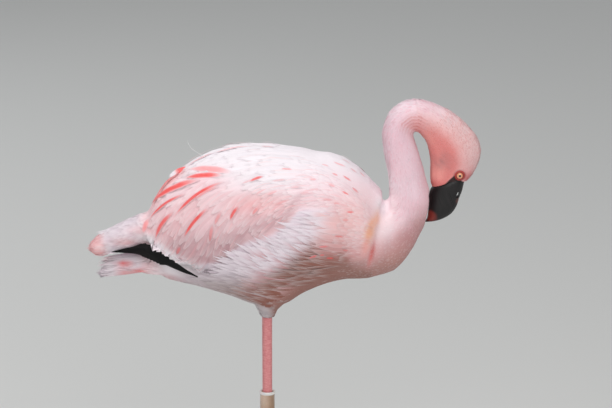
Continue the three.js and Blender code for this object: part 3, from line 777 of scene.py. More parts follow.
def scatter(gaps, inside, flow):
    """Roots spread over the skin where inside is true, with normals there.

    The gaps between them are given beside the lie of the feathers and down it.
    """
    beside, down = (sized(gap, tri_middle) * COARSE for gap in gaps)
    weight = tri_area * inside(tri_middle) / (beside * down)
    count = int(weight.sum() * TRIES)
    chosen = rng.choice(len(weight), count, p=weight / weight.sum())
    u, v = rng.random(count), rng.random(count)
    over = u + v > 1
    u[over], v[over] = 1 - u[over], 1 - v[over]
    first, second, third = corners[chosen].transpose(1, 0, 2)
    spots = first + u[:, None] * (second - first) + v[:, None] * (third - first)
    beside, down = beside[chosen] * CLOSE, down[chosen] * CLOSE
    out = unit(tri_normals[chosen])
    way = flow(spots, out)
    near = KDTree(count)
    for i, place in enumerate(spots.tolist()):
        near.insert(place, i)
    near.balance()
    taken = np.zeros(count, bool)
    keep = []
    for i, place in enumerate(spots.tolist()):
        if taken[i]:
            continue
        keep.append(i)
        others = np.array([j for _, j, _ in near.find_range(place, max(beside[i], down[i]))])
        apart = spots[others] - spots[i]
        far_down = apart @ way[i]
        far_beside = np.einsum("nk,nk->n", apart, apart) - far_down**2
        taken[others[far_down**2 / down[i] ** 2 + far_beside / beside[i] ** 2 < 1]] = True
    return spots[keep], out[keep]


def comb(roots, normals, length, rows, lift, flow, stiff=0.1, yaw=0.08, hold=-2):
    """The shafts of feathers: points, headings and normals at rows + 1 places from root to tip.

    Where the surface turns away from a feather by more than hold, a cosine, the feather goes straight on.
    """
    heading = flow(roots, normals)
    side = np.cross(heading, normals)
    swing = rng.normal(0, yaw, len(roots))[:, None]
    heading = unit(heading + side * swing)
    place, up = roots + normals * ROOT_HEIGHT, normals
    places, headings, ups = [place], [heading], [up]
    for row in range(1, rows + 1):
        guess = place + heading * (length / rows)[:, None]
        foot, normal = on_skin(guess)
        height = np.einsum("nk,nk->n", guess - foot, normal)
        over_edge = np.einsum("nk,nk->n", normal, normals)[:, None] < hold
        target = ROOT_HEIGHT + lift * row / rows
        wanted = np.where(height > target, target + (height - target) * stiff, target)
        wanted = np.minimum(wanted, target + HIGHEST)
        place = np.where(over_edge, guess, guess + normal * (wanted - height)[:, None])
        up = np.where(over_edge, up, unit(up * (0.2 + 0.6 * stiff) + normal))
        way = flow(foot, normal) + side * swing
        turned = unit(place - places[-1]) * 0.2 + unit(way) * 0.8
        turned = unit(turned - up * np.einsum("nk,nk->n", turned, up)[:, None] * (1 - stiff))
        heading = np.where(over_edge, heading, turned)
        places.append(place)
        headings.append(heading)
        ups.append(up)
    return np.stack(places, 1), np.stack(headings, 1), np.stack(ups, 1)


def unwrap(points):
    """Where a point lies on an unrolled skin: along the trunk or the neck, and round it."""
    share, along, heading, offset = neck_share(points)
    trunk_along, _, _, trunk_offset = nearest_on_line(points, TRUNK_LINE)
    on_neck = share > 0.5
    up = np.cross(heading, np.array([0.0, 1.0, 0.0]))
    turn_neck = np.arctan2(offset[:, 1], np.einsum("nk,nk->n", offset, up))
    turn_trunk = np.arctan2(trunk_offset[:, 1], trunk_offset[:, 2])
    across = np.where(on_neck, turn_neck, turn_trunk) / (2 * math.pi) + 0.5
    down_neck = 0.51 + 0.48 * np.clip(along / 345, 0, 1)
    down_trunk = 0.01 + 0.48 * np.clip(trunk_along / 345, 0, 1)
    return np.stack([np.where(on_neck, down_neck, down_trunk), 0.005 + 0.99 * across], 1)


def shaded(vary):
    """A tint for feathers with the colour of their place, each a little lighter or darker."""
    def tint(verts, local, dice):
        count, each = verts.shape[:2]
        return plumage(verts.reshape(-1, 3)).reshape(count, each, 3) * dice.normal(1, vary, (count, 1, 1))
    return tint


def tipped(share, colour, strength, side=(-0.2, 0.7), down=(0.1, 0.6)):
    """A tint that gives some of the vanes another colour beyond a place across and along them."""
    def tint(verts, local, dice):
        shade = shaded(0.03)(verts, local, dice)
        chosen = (dice.random(len(verts)) < share) * dice.uniform(0.35, 1, len(verts)) * strength
        web = smooth_step(local[:, 0], *side) * smooth_step(local[:, 1], *down)
        return shade + (np.asarray(colour) - shade) * (chosen[:, None] * web)[..., None]
    return tint


def vanes(name, shafts, length, width, profile, columns=5, cup=0.35, fray=0.22, tint=shaded(0.03), seed=0,
          soft=0.5):
    """Feathers as one mesh of thin vanes round their shafts. The tips are cut into barbs."""
    spots, headings, ups = shafts
    count, rows = spots.shape[:2]
    dice = np.random.default_rng(seed)
    sides = unit(np.cross(headings, ups))
    across = np.linspace(-1, 1, columns)
    along = np.linspace(0, 1, rows)
    half = 0.5 * width[:, None] * profile(along)[None]
    out = half[:, :, None] * across
    body = (
        spots[:, :, None]
        + sides[:, :, None] * out[..., None]
        - ups[:, :, None] * (cup * half[:, :, None] * across**2)[..., None]
    )
    between = (across[1:] + across[:-1]) / 2
    reach = fray * length[:, None] * (1 - 0.75 * between**2) * dice.uniform(0.45, 1.35, (count, columns - 1))
    splay = between * (1 + 0.25 * dice.normal(size=(count, columns - 1)))
    tips = (
        spots[:, -1, None]
        + headings[:, -1, None] * reach[..., None]
        + sides[:, -1, None] * (splay * half[:, -1, None])[..., None]
        - ups[:, -1, None] * (cup * half[:, -1, None] * between**2 + 0.04 * reach)[..., None]
    )
    body_count, tip_count = rows * columns, columns - 1
    each = body_count + tip_count
    verts = np.concatenate([body.reshape(count, -1, 3), tips], 1)
    grid = np.arange(body_count).reshape(rows, columns)
    quads = np.stack([grid[:-1, :-1], grid[:-1, 1:], grid[1:, 1:], grid[1:, :-1]], -1).reshape(-1, 4)
    teeth = np.stack([grid[-1, :-1], grid[-1, 1:], body_count + np.arange(tip_count)], -1)
    first = (np.arange(count) * each)[:, None]
    loops = np.concatenate([quads.ravel()[None] + first, teeth.ravel()[None] + first], 1)
    quad_starts = np.arange(len(quads)) * 4
    tooth_starts = quads.size + np.arange(len(teeth)) * 3
    starts = np.concatenate([quad_starts, tooth_starts])[None] + (np.arange(count) * loops.shape[1])[:, None]
    mesh = bpy.data.meshes.new(name)
    mesh.vertices.add(count * each)
    mesh.vertices.foreach_set("co", verts.astype(np.float32).ravel())
    mesh.loops.add(loops.size)
    mesh.loops.foreach_set("vertex_index", loops.astype(np.int32).ravel())
    mesh.polygons.add(starts.size)
    mesh.polygons.foreach_set("loop_start", starts.astype(np.int32).ravel())
    mesh.update(calc_edges=True)
    # Each vane has its own map, across and along it, and a small patch at its root's place on the skin.
    local = np.concatenate([
        np.stack(np.broadcast_arrays(across[None], along[:, None]), -1).reshape(-1, 2),
        np.stack([between, np.full(tip_count, 1.12)], -1),
    ])
    vane_map = np.broadcast_to(local * [0.5, 1] + [0.5, 0], (count, each, 2)).reshape(-1, 2)
    patch = unwrap(spots[:, 0])[:, None] + (local * [0.5, 1] + [0, -0.5])[None] * 0.003
    order = loops.ravel()
    for title, flat in (("OFBake", patch.reshape(-1, 2)), ("vane", vane_map)):
        layer = mesh.uv_layers.new(name=title)
        layer.data.foreach_set("uv", flat[order].astype(np.float32).ravel())
    give_colours(mesh, np.clip(tint(verts, local, dice), 0, 1).reshape(-1, 3))
    # Loose barbs scatter the light, so a vane is shaded partly like the body under it.
    mesh.shade_smooth()
    body_way = np.repeat(ups, columns, axis=1)
    under = np.concatenate([body_way, np.repeat(ups[:, -1:], tip_count, axis=1)], 1).reshape(-1, 3)
    mesh.normals_split_custom_set_from_vertices(unit(read_normals(mesh) * (1 - soft) + under * soft))
    return bpy.data.objects.new(name, mesh)


def round_vane(t):
    return np.interp(t, [0, 0.15, 0.45, 0.75, 1], [0.35, 0.75, 1, 0.95, 0.62])


def slim_vane(t):
    return np.interp(t, [0, 0.2, 0.5, 0.8, 1], [0.4, 0.85, 1, 0.8, 0.42])


def pointed_vane(t):
    return np.interp(t, [0, 0.2, 0.45, 0.75, 1], [0.4, 0.9, 1, 0.72, 0.2])


def feather_finish(name, barbs, edge, rough=0.8, depth=0.1):
    """Vanes coloured by their place, paler at the edges, painted shade at the root, fine slanting barbs."""
    finish = Finish(name, Roughness=rough, Sheen_Weight=0.2, Sheen_Roughness=0.5)
    shade = finish.node("Attribute", {"attribute_name": "plumage"}, output="Color")
    across, along, _ = finish.parts(finish.node("UVMap", {"uv_map": "vane"}))
    rim = abs(across * 2 - 1).rise(0.35, 1.0)
    light = finish.mix(rim * edge + along.rise(0.55, 1.0) * edge, shade, rgb(255, 246, 248))
    # Darker and pinker towards the root, under the vanes before it: painted shade, by the share depth.
    root = finish.mix(depth * (1 - along.rise(0.0, 0.55)), light, rgb(222, 170, 168))
    shaft = finish.mix((1 - abs(across * 2 - 1).rise(0.0, 0.09)) * 0.12, root, rgb(214, 168, 162))
    finish.paint(Base_Color=shaft)
    slant = (along + abs(across - 0.5) * 0.6) * barbs
    finish.bump(slant.maths("SINE", slant), 0.05 * MM, 0.5)
    return finish


def coat_piece(name, finish, slot, inside, gaps, length, width, lift, rows, columns, profile, seed,
               flow=lie, keep=None, **more):
    """Scatters, combs and shapes the feathers of one piece. Sizes are in millimetres or functions."""
    roots, normals = scatter(gaps, inside, flow)
    long = sized(length, roots) * rng.normal(1, 0.08, len(roots))
    wide = sized(width, roots) * rng.normal(1, 0.08, len(roots)) * COARSE
    high = sized(lift, roots) * rng.uniform(0.7, 1.3, len(roots))
    settings = {key: more.pop(key) for key in ("stiff", "yaw", "hold") if key in more}
    shafts = comb(roots, normals, long * 0.85, rows, high, flow, **settings)
    if keep:
        kept = keep(shafts[0][:, -1])
        shafts, long, wide = [part[kept] for part in shafts], long[kept], wide[kept]
    coat = vanes(name, shafts, long, wide, profile, columns=columns, seed=seed, **more)
    return finished(coat, finish, slot)


def ragged(points, reach):
    """A few millimetres more or less, so that a group of feathers starts in no straight line."""
    return reach * (2 * blotch(points, 6, 15) - 1)


# --- Head and neck feathers -----------------------------------------------------------------------
# The smallest feathers, close and velvety on the face. They lengthen down the neck, and stand a little
# loose on the crown and along the nape.

body_feather = feather_finish("body feather", 300, edge=0.22, depth=0.05)
neck_feather = feather_finish("neck feather", 60, edge=0.12)


def face_only(points):
    share, along, _, _ = neck_share(points)
    x, z = points[:, 0] / MM, points[:, 2] / MM
    above_bill = z > read_off(x, LORE_EDGE) + 0.3
    from_eye = np.hypot(x - EYE_PLACE[0], z - EYE_PLACE[1])
    return (share > 0.5) & (along > 240) & above_bill & (from_eye > 5.4)


def neck_only(points):
    share, along, _, _ = neck_share(points)
    x, y, z = (points / MM).T
    against_bill = (x > 190) & (z > 452) & (z < 512) & (y > -6) & (along < 150)
    return (share > 0.5) & (along > 70) & (along <= 240) & ~against_bill


def near_bill(points):
    return smooth_step(neck_share(points)[1], 240, 315)


def near_shoulder(points):
    """Down the neck the feathers lengthen."""
    return smooth_step(neck_share(points)[1], 170, 70)


def on_nape(points):
    _, _, heading, offset = neck_share(points)
    return smooth_step(outer_side(heading, offset), 0.3, 0.85)


def face_gap(points):
    return 1.3 - 0.35 * near_bill(points)


coat_piece(
    "face_feathers", neck_feather, "face_plumage", face_only, (face_gap, face_gap),
    lambda p: 5.4 - 2.9 * near_bill(p), lambda p: 1.8 - 0.7 * near_bill(p),
    lambda p: 0.6 + (0.8 - 0.4 * near_bill(p)) * on_nape(p), 2, 3, slim_vane, 11,
    tint=tipped(0.4, rgb(216, 84, 80), 0.35, (-2, -1), (0.0, 0.3)), yaw=0.14, soft=0.55,
)
coat_piece(
    "neck_feathers", neck_feather, "neck_plumage", neck_only, (1.6, 2.2),
    lambda p: 7.5 + 3 * near_shoulder(p), 2.3, lambda p: 0.6 + 0.8 * on_nape(p), 2, 3, slim_vane, 12,
    tint=tipped(0.3, rgb(236, 168, 184), 0.4, (-2, -1), (0.0, 0.3)), soft=0.7,
)

# --- Body feathers --------------------------------------------------------------------------------
# Soft round contour feathers over the breast, the shoulders and the belly, small towards the neck.


def trunk_only(points):
    share, along, _, _ = neck_share(points)
    return (share <= 0.5) | (along <= 70)


def right_side(points):
    return points[:, 1] <= 0


def left_side(points):
    return points[:, 1] > 0


SIDES = (("right", right_side, -1, 21), ("left", left_side, 1, 22))
# Where the flank plumes are rooted: x at each height, at their rear.
FLANK_REAR = ((360, -62), (385, -44), (398, -30), (412, -12), (424, 22), (437, 46), (475, 84))


def over_wing(points):
    """Where the folded wing shows on the skin, in side view."""
    x, y, z = (points / MM).T
    front = x < read_off(z, WING_FRONT) + ragged(points, 7)
    return (z > read_off(x, WING_EDGE) + 3) & front & (x > -160) & (np.abs(y) > 12)


def over_flank(points):
    """Where the long flank feathers grow: behind the breast, over the lower front of the wing."""
    x, y, z = (points / MM).T
    rear = x > read_off(z, FLANK_REAR) + ragged(points, 4)
    front = x < 106 + ragged(points, 8)
    return rear & front & (z < 476) & (z > 352 + 0.16 * np.maximum(x, 0)) & (np.abs(y) > 26)


def over_tail(points):
    return points[:, 0] < -138 * MM


def over_back(points):
    x, y, z = (points / MM).T
    return (z > 522 - 0.25 * np.abs(y)) & (x > -92) & (x < 58 + ragged(points, 22)) & (np.abs(y) < 52)


def over_thigh(points):
    return (points[:, 2] <= 340 * MM) & (np.abs(points[:, 0]) < 20 * MM)


def fine(points):
    """1 at the neck and low on the breast, where the body feathers are small, and 0 on the trunk."""
    return smooth_step(points[:, 0] / MM, 58, 138)


def body_only(points):
    elsewhere = over_wing(points) | over_flank(points) | over_tail(points) | over_thigh(points)
    return trunk_only(points) & ~elsewhere


for side_name, facing, _, seed in SIDES:
    coat_piece(
        side_name + "_body_feathers", body_feather, "plumage", lambda p: body_only(p) & facing(p),
        (lambda p: 4.6 - 2.7 * fine(p), lambda p: 8.0 - 5.2 * fine(p)), lambda p: 27 - 17 * fine(p),
        lambda p: 10.5 - 7.0 * fine(p), 0.35, 5, 5, round_vane, seed, soft=0.85, fray=0.3, cup=0.22,
    )

# --- Wing coverts ---------------------------------------------------------------------------------
# Rows of soft coverts sweep back and down over the folded wing. They lengthen towards its rear edge,
# and one web of many of them is pink. The last ones end in pale tips along the edge of the wing.


def wing_lie(points, normals):
    return lie(points, normals, WING_LIE)


def to_rear(points):
    return smooth_step(points[:, 0] / MM, 85, -60)


STRIDE = 2.0  # millimetres from one test to the next, on the way to the edge


def room_to_edge(points):
    """How far a feather can reach before it passes the lower edge of the wing."""
    place, room, inside = points.copy(), np.zeros(len(points)), np.ones(len(points), bool)
    sideways = np.stack([0 * room, np.sign(points[:, 1]), 0 * room], 1)
    for _ in range(32):
        place = place + wing_lie(place, sideways) * STRIDE * MM
        inside &= place[:, 2] > read_off(place[:, 0] / MM, WING_EDGE) * MM
        room += STRIDE * inside
    return room


def tip_shows(tips):
    """Whether a covert ends neither far past the edge of the wing nor deep under the flank feathers."""
    x, y, z = (tips / MM).T
    over_plumes = seen_level(y, z) - read_off(x, FLANK_EDGE)
    return (z > read_off(x, WING_EDGE) - 3.5) & ((over_plumes > -5) | (x > 60) | (x < -82))


def covert_vane(t):
    return np.interp(t, [0, 0.2, 0.5, 0.75, 0.9, 1], [0.4, 0.85, 1, 0.85, 0.55, 0.3])


def covert_length(points):
    return np.minimum(26 + 34 * to_rear(points), room_to_edge(points) + 3)


for side_name, facing, _, seed in SIDES:
    coat_piece(
        side_name + "_wing_coverts", body_feather, "wing_coverts",
        lambda p: over_wing(p) & ~over_flank(p) & ~over_back(p) & facing(p),
        (lambda p: 3.0 + 2.2 * to_rear(p), lambda p: 6 + 6 * to_rear(p)), covert_length,
        lambda p: 6 + 5.5 * to_rear(p), lambda p: 1.1 + 0.8 * to_rear(p), 9, 7, covert_vane,
        seed + 10, flow=wing_lie, stiff=0.3, yaw=0.025, hold=0.5, keep=tip_shows, soft=0.7, fray=0.07,
        tint=tipped(0.5, rgb(243, 172, 176), 0.6),
    )

# --- Back plumes ----------------------------------------------------------------------------------
# Long loose white scapulars lie over both wings like a saddle cloth.

back_feather = feather_finish("back plume", 200, edge=0.2)
coat_piece(
    "back_plumes", back_feather, "plumage", over_back, (5, 14), 62, 12, 1.5, 10, 7, slim_vane, 41,
    flow=wing_lie, stiff=0.25, yaw=0.05, fray=0.14, soft=0.65, tint=tipped(0.3, rgb(250, 200, 200), 0.5),
)

# --- Flank plumes ---------------------------------------------------------------------------------
# The flank feathers are long, white and fluffy, and close over the lower front of the wing.


def plume_tint(verts, local, dice):
    """Each plume keeps the colour of its root and pales towards its tip."""
    roots = verts[:, 0] + [6 * MM, 0, 0]
    roots[:, 0] = np.minimum(roots[:, 0], 100 * MM)
    shade = np.repeat(plumage(roots)[:, None], verts.shape[1], 1)
    x, y, z = np.moveaxis(verts / MM, -1, 0)
    over_belly = seen_level(y, z) - read_off(x, BELLY_EDGE)
    pale = smooth_step(local[:, 1], 0.2, 0.9)[None] * smooth_step(over_belly, 17, 45)
    pale = pale * smooth_step(x, 100, 50) * smooth_step(z, 372, 404)
    shade = shade + (np.asarray(LILAC) - shade) * pale[..., None]
    return shade * dice.normal(1, 0.03, (len(verts), 1, 1))


def plume_lift(points):
    """They stand off the coverts under them, and lie close at the belly."""
    x, _, z = (points / MM).T
    return 0.9 + smooth_step(z, 384, 406) * (1.7 + 1.6 * smooth_step(x, 30, -15))


for side_name, facing, _, seed in SIDES:
    coat_piece(
        side_name + "_flank_plumes", back_feather, "plumage", lambda p: over_flank(p) & facing(p),
        (3.6, 8), 54, 8, plume_lift, 9, 5, pointed_vane, seed + 20,
        stiff=0.3, yaw=0.06, fray=0.14, soft=0.8, cup=0.22, tint=plume_tint,
    )

# --- Tail -----------------------------------------------------------------------------------------
# Twelve tail feathers lie like tiles on a roof, with rosy ends. Long white coverts above and below hide
# most of them, and the lower ones end in a ragged tuft.

coat_piece(
    "tail_coverts", body_feather, "plumage", over_tail, (4, 7), 30, 9, 1.6, 6, 5, slim_vane, 51,
    stiff=0.5, yaw=0.08, fray=0.3, soft=0.6,
)


def tile_shafts(roots, ends, ups, rows, sag):
    """Straight shafts from roots to ends that sag a little, with a way up for each feather."""
    share = np.linspace(0, 1, rows)
    spots = roots[:, None] + (ends - roots)[:, None] * share[None, :, None]
    spots[..., 2] -= (sag * MM * share**2)[None]
    headings = unit(np.gradient(spots, axis=1))
    ups = np.broadcast_to(unit(ups)[:, None], spots.shape)
    return spots, headings, unit(ups - headings * np.einsum("nrk,nrk->nr", headings, ups)[..., None])


# A few of the upper ones lie loose along the top, and show white over the rosy ends.
TOP_COUNT = 7
row = np.linspace(-1, 1, TOP_COUNT)
top_roots = np.stack([-176 + 2 * row, 5 * row, 450 - 2 * np.abs(row)], 1) * MM
top_ends = np.stack([-212 + 5 * np.abs(row), 5 * row, 438.5 - 2 * np.abs(row)], 1) * MM
top_ups = np.stack([-0.2 + 0 * row, 0.6 * row, np.ones(TOP_COUNT)], 1)
top_coverts = vanes(
    "top_tail_coverts", tile_shafts(top_roots, top_ends, top_ups, 8, -1), np.full(TOP_COUNT, 38 * MM),
    np.full(TOP_COUNT, 7 * MM), pointed_vane, columns=7, cup=0.25, fray=0.14, seed=55, soft=0.5,
    tint=lambda verts, local, dice: np.broadcast_to(rgb(232, 222, 230), verts.shape),
)
finished(top_coverts, body_feather, "plumage")

TAIL_COUNT = 12
fan = np.linspace(-1, 1, TAIL_COUNT)
droop = np.abs(fan) ** 1.3
tail_roots = np.stack([np.full(TAIL_COUNT, -150.0), 7 * fan, 438 - 6 * droop], 1) * MM
tail_ends = np.stack([-212 + 14 * droop, 15 * fan, 430 - 9 * droop], 1) * MM
tail_ups = np.stack([0 * fan, 0.7 * fan, np.ones(TAIL_COUNT)], 1)
tail_shafts = tile_shafts(tail_roots, tail_ends, tail_ups, 12, 2)
rectrices = vanes(
    "tail_feathers", tail_shafts, np.full(TAIL_COUNT, 66 * MM), np.full(TAIL_COUNT, 15 * MM), round_vane,
    columns=9, cup=0.2, fray=0.1, seed=52,
)
finished(rectrices, body_feather, "plumage")

TUFT_COUNT = 150
tuft = np.random.default_rng(53)
turn = tuft.uniform(0, 2 * math.pi, TUFT_COUNT)
round_it = np.stack([0 * turn, np.cos(turn), np.sin(turn)], 1) * tuft.uniform(0.25, 1, (TUFT_COUNT, 1))
tuft_roots = (np.array([-150, 0, 402]) + round_it * [1, 15, 15]) * MM
tuft_ends = np.array([-199, 0, 394.5]) + round_it * [1, 9, 14.5]
tuft_ends = tuft_ends + tuft.normal(0, 1.6, (TUFT_COUNT, 3)) * [2, 1, 0.6]
tuft_ups = round_it + [-0.1, 0, 0]
tuft_shafts = tile_shafts(tuft_roots, tuft_ends * MM, tuft_ups, 8, 0.5)
undertail_tuft = vanes(
    "undertail_tuft", tuft_shafts, np.full(TUFT_COUNT, 48 * MM), np.full(TUFT_COUNT, 9 * MM), pointed_vane,
    columns=5, fray=0.18, seed=54, soft=0.4,
    tint=tipped(1.0, rgb(236, 226, 232), 0.9, (-2, -1), (0.6, 0.95)),
)
finished(undertail_tuft, body_feather, "plumage")

# --- Thigh ----------------------------------------------------------------------------------------
# Short down like a sock, down to where the scaled shank begins.

coat_piece(
    "thigh_down", neck_feather, "plumage", over_thigh, (1.7, 2.2), 8, 2.6, 1.0, 3, 3, slim_vane, 61,
    tint=tipped(0.5, rgb(196, 184, 186), 0.5, (-2, -1), (0.0, 0.3)),
)

# --- Scarlet webs ---------------------------------------------------------------------------------
# The outer webs of some coverts are scarlet and show as long thin strokes. Smaller feathers towards the
# shoulder only have a scarlet fleck. They lie on the other feathers.

# Each stroke runs from a place to a place (x, level) as seen from a little above, and bows up between
# them. After these come the height of its bow, its width and its strength.
RIM_STROKES = {
    -1: (((-107, 520), (-146, 479), 1.5, 4.5, 0.75), ((-80, 507), (-143, 478), 4.5, 9, 1.0)),
    1: (((-84, 503), (-132, 484), 4.5, 8, 1.0),),
}
STROKES = (
    ((-52, 512), (-100, 509), 1.8, 8, 1.0), ((-40, 515), (-96, 520), 2.5, 10, 0.6),
    ((-50, 505), (-112, 463), 6, 5, 1.0), ((-57, 499), (-89, 481), 2, 3.6, 0.5),
    ((-70, 472), (-102, 434), 3, 5.2, 1.0), ((-98, 489), (-145, 457), 5, 4, 0.95),
    ((-114, 466), (-138, 432), 4, 6, 0.9), ((-145, 457), (-154, 438), 2, 7, 0.5),
    ((-34, 473), (-45, 455), 1.5, 4.6, 0.9), ((-2, 511), (-21, 504), 1, 4, 0.9),
    ((-66, 450), (-70, 427), 1, 5, 0.4), ((-55, 466), (-64, 449), 1, 5, 0.4),
    ((-9, 471), (-17, 462), 1, 4.4, 0.4), ((-107, 422), (-112, 411), 0, 5, 0.45),
    ((-62, 545), (-101, 527), 1.5, 3.5, 0.45), ((-14, 551), (-66, 540), 2, 3.5, 0.35),
    ((10, 552), (-8, 553), 0.5, 3, 0.3),
)
# Each fleck has its place (x, level), its length and its strength.
FLECKS = (
    (26, 520, 14, 0.7), (73, 525, 9, 0.5), (91, 526, 16, 0.6), (85, 513, 8, 0.7), (100, 508, 12, 0.9),
    (110, 493, 10, 0.7), (98, 489, 10, 0.9), (58, 507, 9, 0.5), (81, 499, 9, 0.5), (76, 481, 12, 0.4),
    (87, 476, 8, 0.4), (104, 465, 9, 0.9), (98, 455, 7, 0.4), (90, 434, 11, 0.6), (71, 421, 12, 0.7),
    (58, 408, 10, 0.8), (79, 406, 10, 0.8), (69, 410, 6, 0.6), (98, 416, 7, 0.4), (119, 513, 9, 0.5),
    (-22, 505, 16, 0.35), (8, 490, 14, 0.4), (16, 506, 18, 0.35), (36, 497, 12, 0.3), (48, 490, 12, 0.3),
    (100, 533, 14, 0.35), (108, 518, 10, 0.4), (60, 494, 14, 0.25), (20, 478, 16, 0.3), (-6, 492, 14, 0.3),
)


def arc(start, end, bow, count=24):
    """Points along an arc in side view."""
    start, end = np.array(start, float), np.array(end, float)
    share = np.linspace(0, 1, count)[:, None]
    across = np.array([end[1] - start[1], start[0] - end[0]]) / np.linalg.norm(end - start)
    return start + (end - start) * share + across * bow * 4 * share * (1 - share)


def blade_vane(t):
    return np.interp(t, [0, 0.12, 0.4, 0.75, 1], [0.12, 0.6, 1, 0.85, 0.2])


def coat_tree(side_name):
    """The outside of the feathers of one side."""
    whole = bmesh.new()
    for group in ("_wing_coverts", "_flank_plumes", "_body_feathers"):
        whole.from_mesh(bpy.data.objects[side_name + group].data)
    whole.from_mesh(bpy.data.objects["back_plumes"].data)
    tree = BVHTree.FromBMesh(whole)
    whole.free()
    return tree


CLEAR = 300 * MM  # well outside the bird
# How near the middle of the bird a stroke may come, on its right and on its left side.
NEAREST = {-1: 8 * MM, 1: 13 * MM}


def meet(tree, x, level, across):
    """Where a line across the bird, as seen from a little above, meets a surface: its y, and the hit."""
    start = Vector((x, across * CLEAR, level + SLOPE * CLEAR))
    hit = tree.ray_cast(start, Vector((0, -across, -SLOPE)))
    return hit if hit[0] else tree.find_nearest(Vector((x, across * 4 * MM, level)))


def evened(values, rounds, highest=False):
    """A row of numbers or vectors, made smooth from one end to the other."""
    for _ in range(rounds):
        padded = np.concatenate([values[:1], values, values[-1:]])
        mean = (padded[:-2] + 2 * padded[1:-1] + padded[2:]) / 4
        values = np.maximum(values, mean) if highest else mean
    return values


def stroke_shaft(tree, path, across, rows, rise):
    """A smooth shaft over the coat along a path in side view."""
    run = np.concatenate([[0], np.cumsum(np.linalg.norm(np.diff(path, axis=0), axis=1))])
    share = np.linspace(0, run[-1], rows)
    foot, normal, height = [], [], []
    steps = [np.interp(share, run, path[:, axis]) * MM for axis in range(2)]
    for x, level in zip(*steps):
        coat = meet(tree, x, level, across)[0]
        below, out = skin_tree.find_nearest(coat)[:2]
        foot.append(below[:])
        normal.append(out[:])
        height.append((coat - below).length)
    foot, normal = evened(np.array(foot), 2), unit(evened(np.array(normal), 3))
    foot[:, 1] = across * np.maximum(across * foot[:, 1], NEAREST[across])
    height = evened(evened(np.minimum(np.array(height), 9 * MM), 3, True), 3)
    bend = np.linspace(-0.8, 0.3, rows)
    place = foot + normal * (height + rise * np.clip(1 - bend**4, 0.1, 1))[:, None]
    return place, unit(np.gradient(place, axis=0)), unit(normal + [0, 0.2 * across, 0])


def scarlet(strengths):
    """Scarlet along the middle of a vane, fading to the colour of the plumage at its edges and ends."""
    def tint(verts, local, dice):
        shade = shaded(0.03)(verts, local, dice)
        core = np.clip(1.2 - 1.05 * local[:, 0] ** 2, 0, 1) * smooth_step(local[:, 1], 0, 0.4)
        core *= smooth_step(local[:, 1], 1.15, 0.75)
        amount = np.asarray(strengths)[:, None] * core * dice.uniform(0.86, 1, (len(verts), len(local)))
        return shade + (np.asarray(SCARLET) - shade) * amount[..., None]
    return tint


def fleck_path(x, level, long, across):
    """A fleck's path, along the lie of the feathers there."""
    place, out = meet(skin_tree, x * MM, level * MM, across)[:2]
    way = wing_lie(np.array([place[:]]), np.array([out[:]]))[0]
    way = np.array([way[0], way[2] - SLOPE * across * way[1]]) * long / 2
    return arc(np.array([x, level]) - way, np.array([x, level]) + way, 0)


scarlet_feather = feather_finish("scarlet web", 150, edge=0.0, rough=0.65, depth=0.0)
for side_name, _, across, seed in SIDES:
    tree = coat_tree(side_name)
    marks = [(arc(start, end, bow), wide, part, 2.0) for start, end, bow, wide, part in RIM_STROKES[across]]
    marks += [(arc(start, end, bow), wide, part, 1.1) for start, end, bow, wide, part in STROKES]
    for x, level, long, strength in FLECKS:
        marks.append((fleck_path(x, level, 1.15 * long, across), 3.4, 0.75 * strength, 0.45))
    shafts = [stroke_shaft(tree, path, across, 16, rise * MM) for path, _, _, rise in marks]
    tied = [np.stack([shaft[i] for shaft in shafts]) for i in range(3)]
    long = np.linalg.norm(np.diff(tied[0], axis=1), axis=2).sum(1)
    webs = vanes(
        side_name + "_scarlet_webs", tied, long, np.array([wide for _, wide, _, _ in marks]) * MM,
        blade_vane, columns=9, cup=0.15, fray=0.1, tint=scarlet([strength for _, _, strength, _ in marks]),
        seed=seed + 50, soft=0.85,
    )
    finished(webs, scarlet_feather, "wing_coverts")

# One covert on each side has come loose and stands off the rump, white at its tip and scarlet above.
LOOSE_COVERT = ((-90, 519.5), (-119.5, 512.5), 4, 6.5)
LOOSE_ROWS = 12
LOOSE_OUT = {-1: 7, 1: 13}  # how far it lies from the middle of the bird, right and left


def loose_tint(verts, local, dice):
    shade = np.broadcast_to(np.asarray(WHITE), verts.shape).copy()
    red = smooth_step(local[:, 1], 0.86, 0.64) * smooth_step(local[:, 1], 0.0, 0.15)
    return shade + (np.asarray(SCARLET) - shade) * (0.9 * red)[None, :, None]


start, end, bow, wide = LOOSE_COVERT
path = arc(start, end, bow, LOOSE_ROWS)
for side_name, _, across, seed in SIDES:
    out = LOOSE_OUT[across]
    height = path[:, 1] + SLOPE * LOOSE_OUT[-1]
    place = np.stack([path[:, 0], np.full(LOOSE_ROWS, across * out), height], 1) * MM
    place[:, 2] -= (out - LOOSE_OUT[-1]) * 0.9 * MM
    up = unit(np.tile([-0.3, 0.85 * across, 0.42], (LOOSE_ROWS, 1)))
    heading = unit(np.gradient(place, axis=0))
    up = unit(up - heading * np.einsum("nk,nk->n", heading, up)[:, None])
    loose = vanes(
        side_name + "_loose_covert", (place[None], heading[None], up[None]), np.full(1, 31 * MM),
        np.full(1, wide * MM), round_vane, columns=9, cup=0.2, fray=0.12, tint=loose_tint, seed=seed + 70,
        soft=0.6,
    )
    finished(loose, scarlet_feather, "wing_coverts")

# --- Flight feathers ------------------------------------------------------------------------------
# The folded primaries and secondaries are black and firm. Only their lower edges and tips show.

# The line that the folded tips follow on the left side, from their cover to the tip of the longest.
FLIGHT_LINE = np.array([
    (-86, 43, 393), (-93, 42.5, 396), (-102, 41.5, 399.5), (-127, 35, 411.5), (-146, 30, 421.5),
    (-155, 27, 425), (-171, 23.5, 422.5), (-185, 20.5, 420), (-193, 19, 418.5),
])
FLIGHT_COUNT = 7
BLACK = rgb(8, 8, 9)


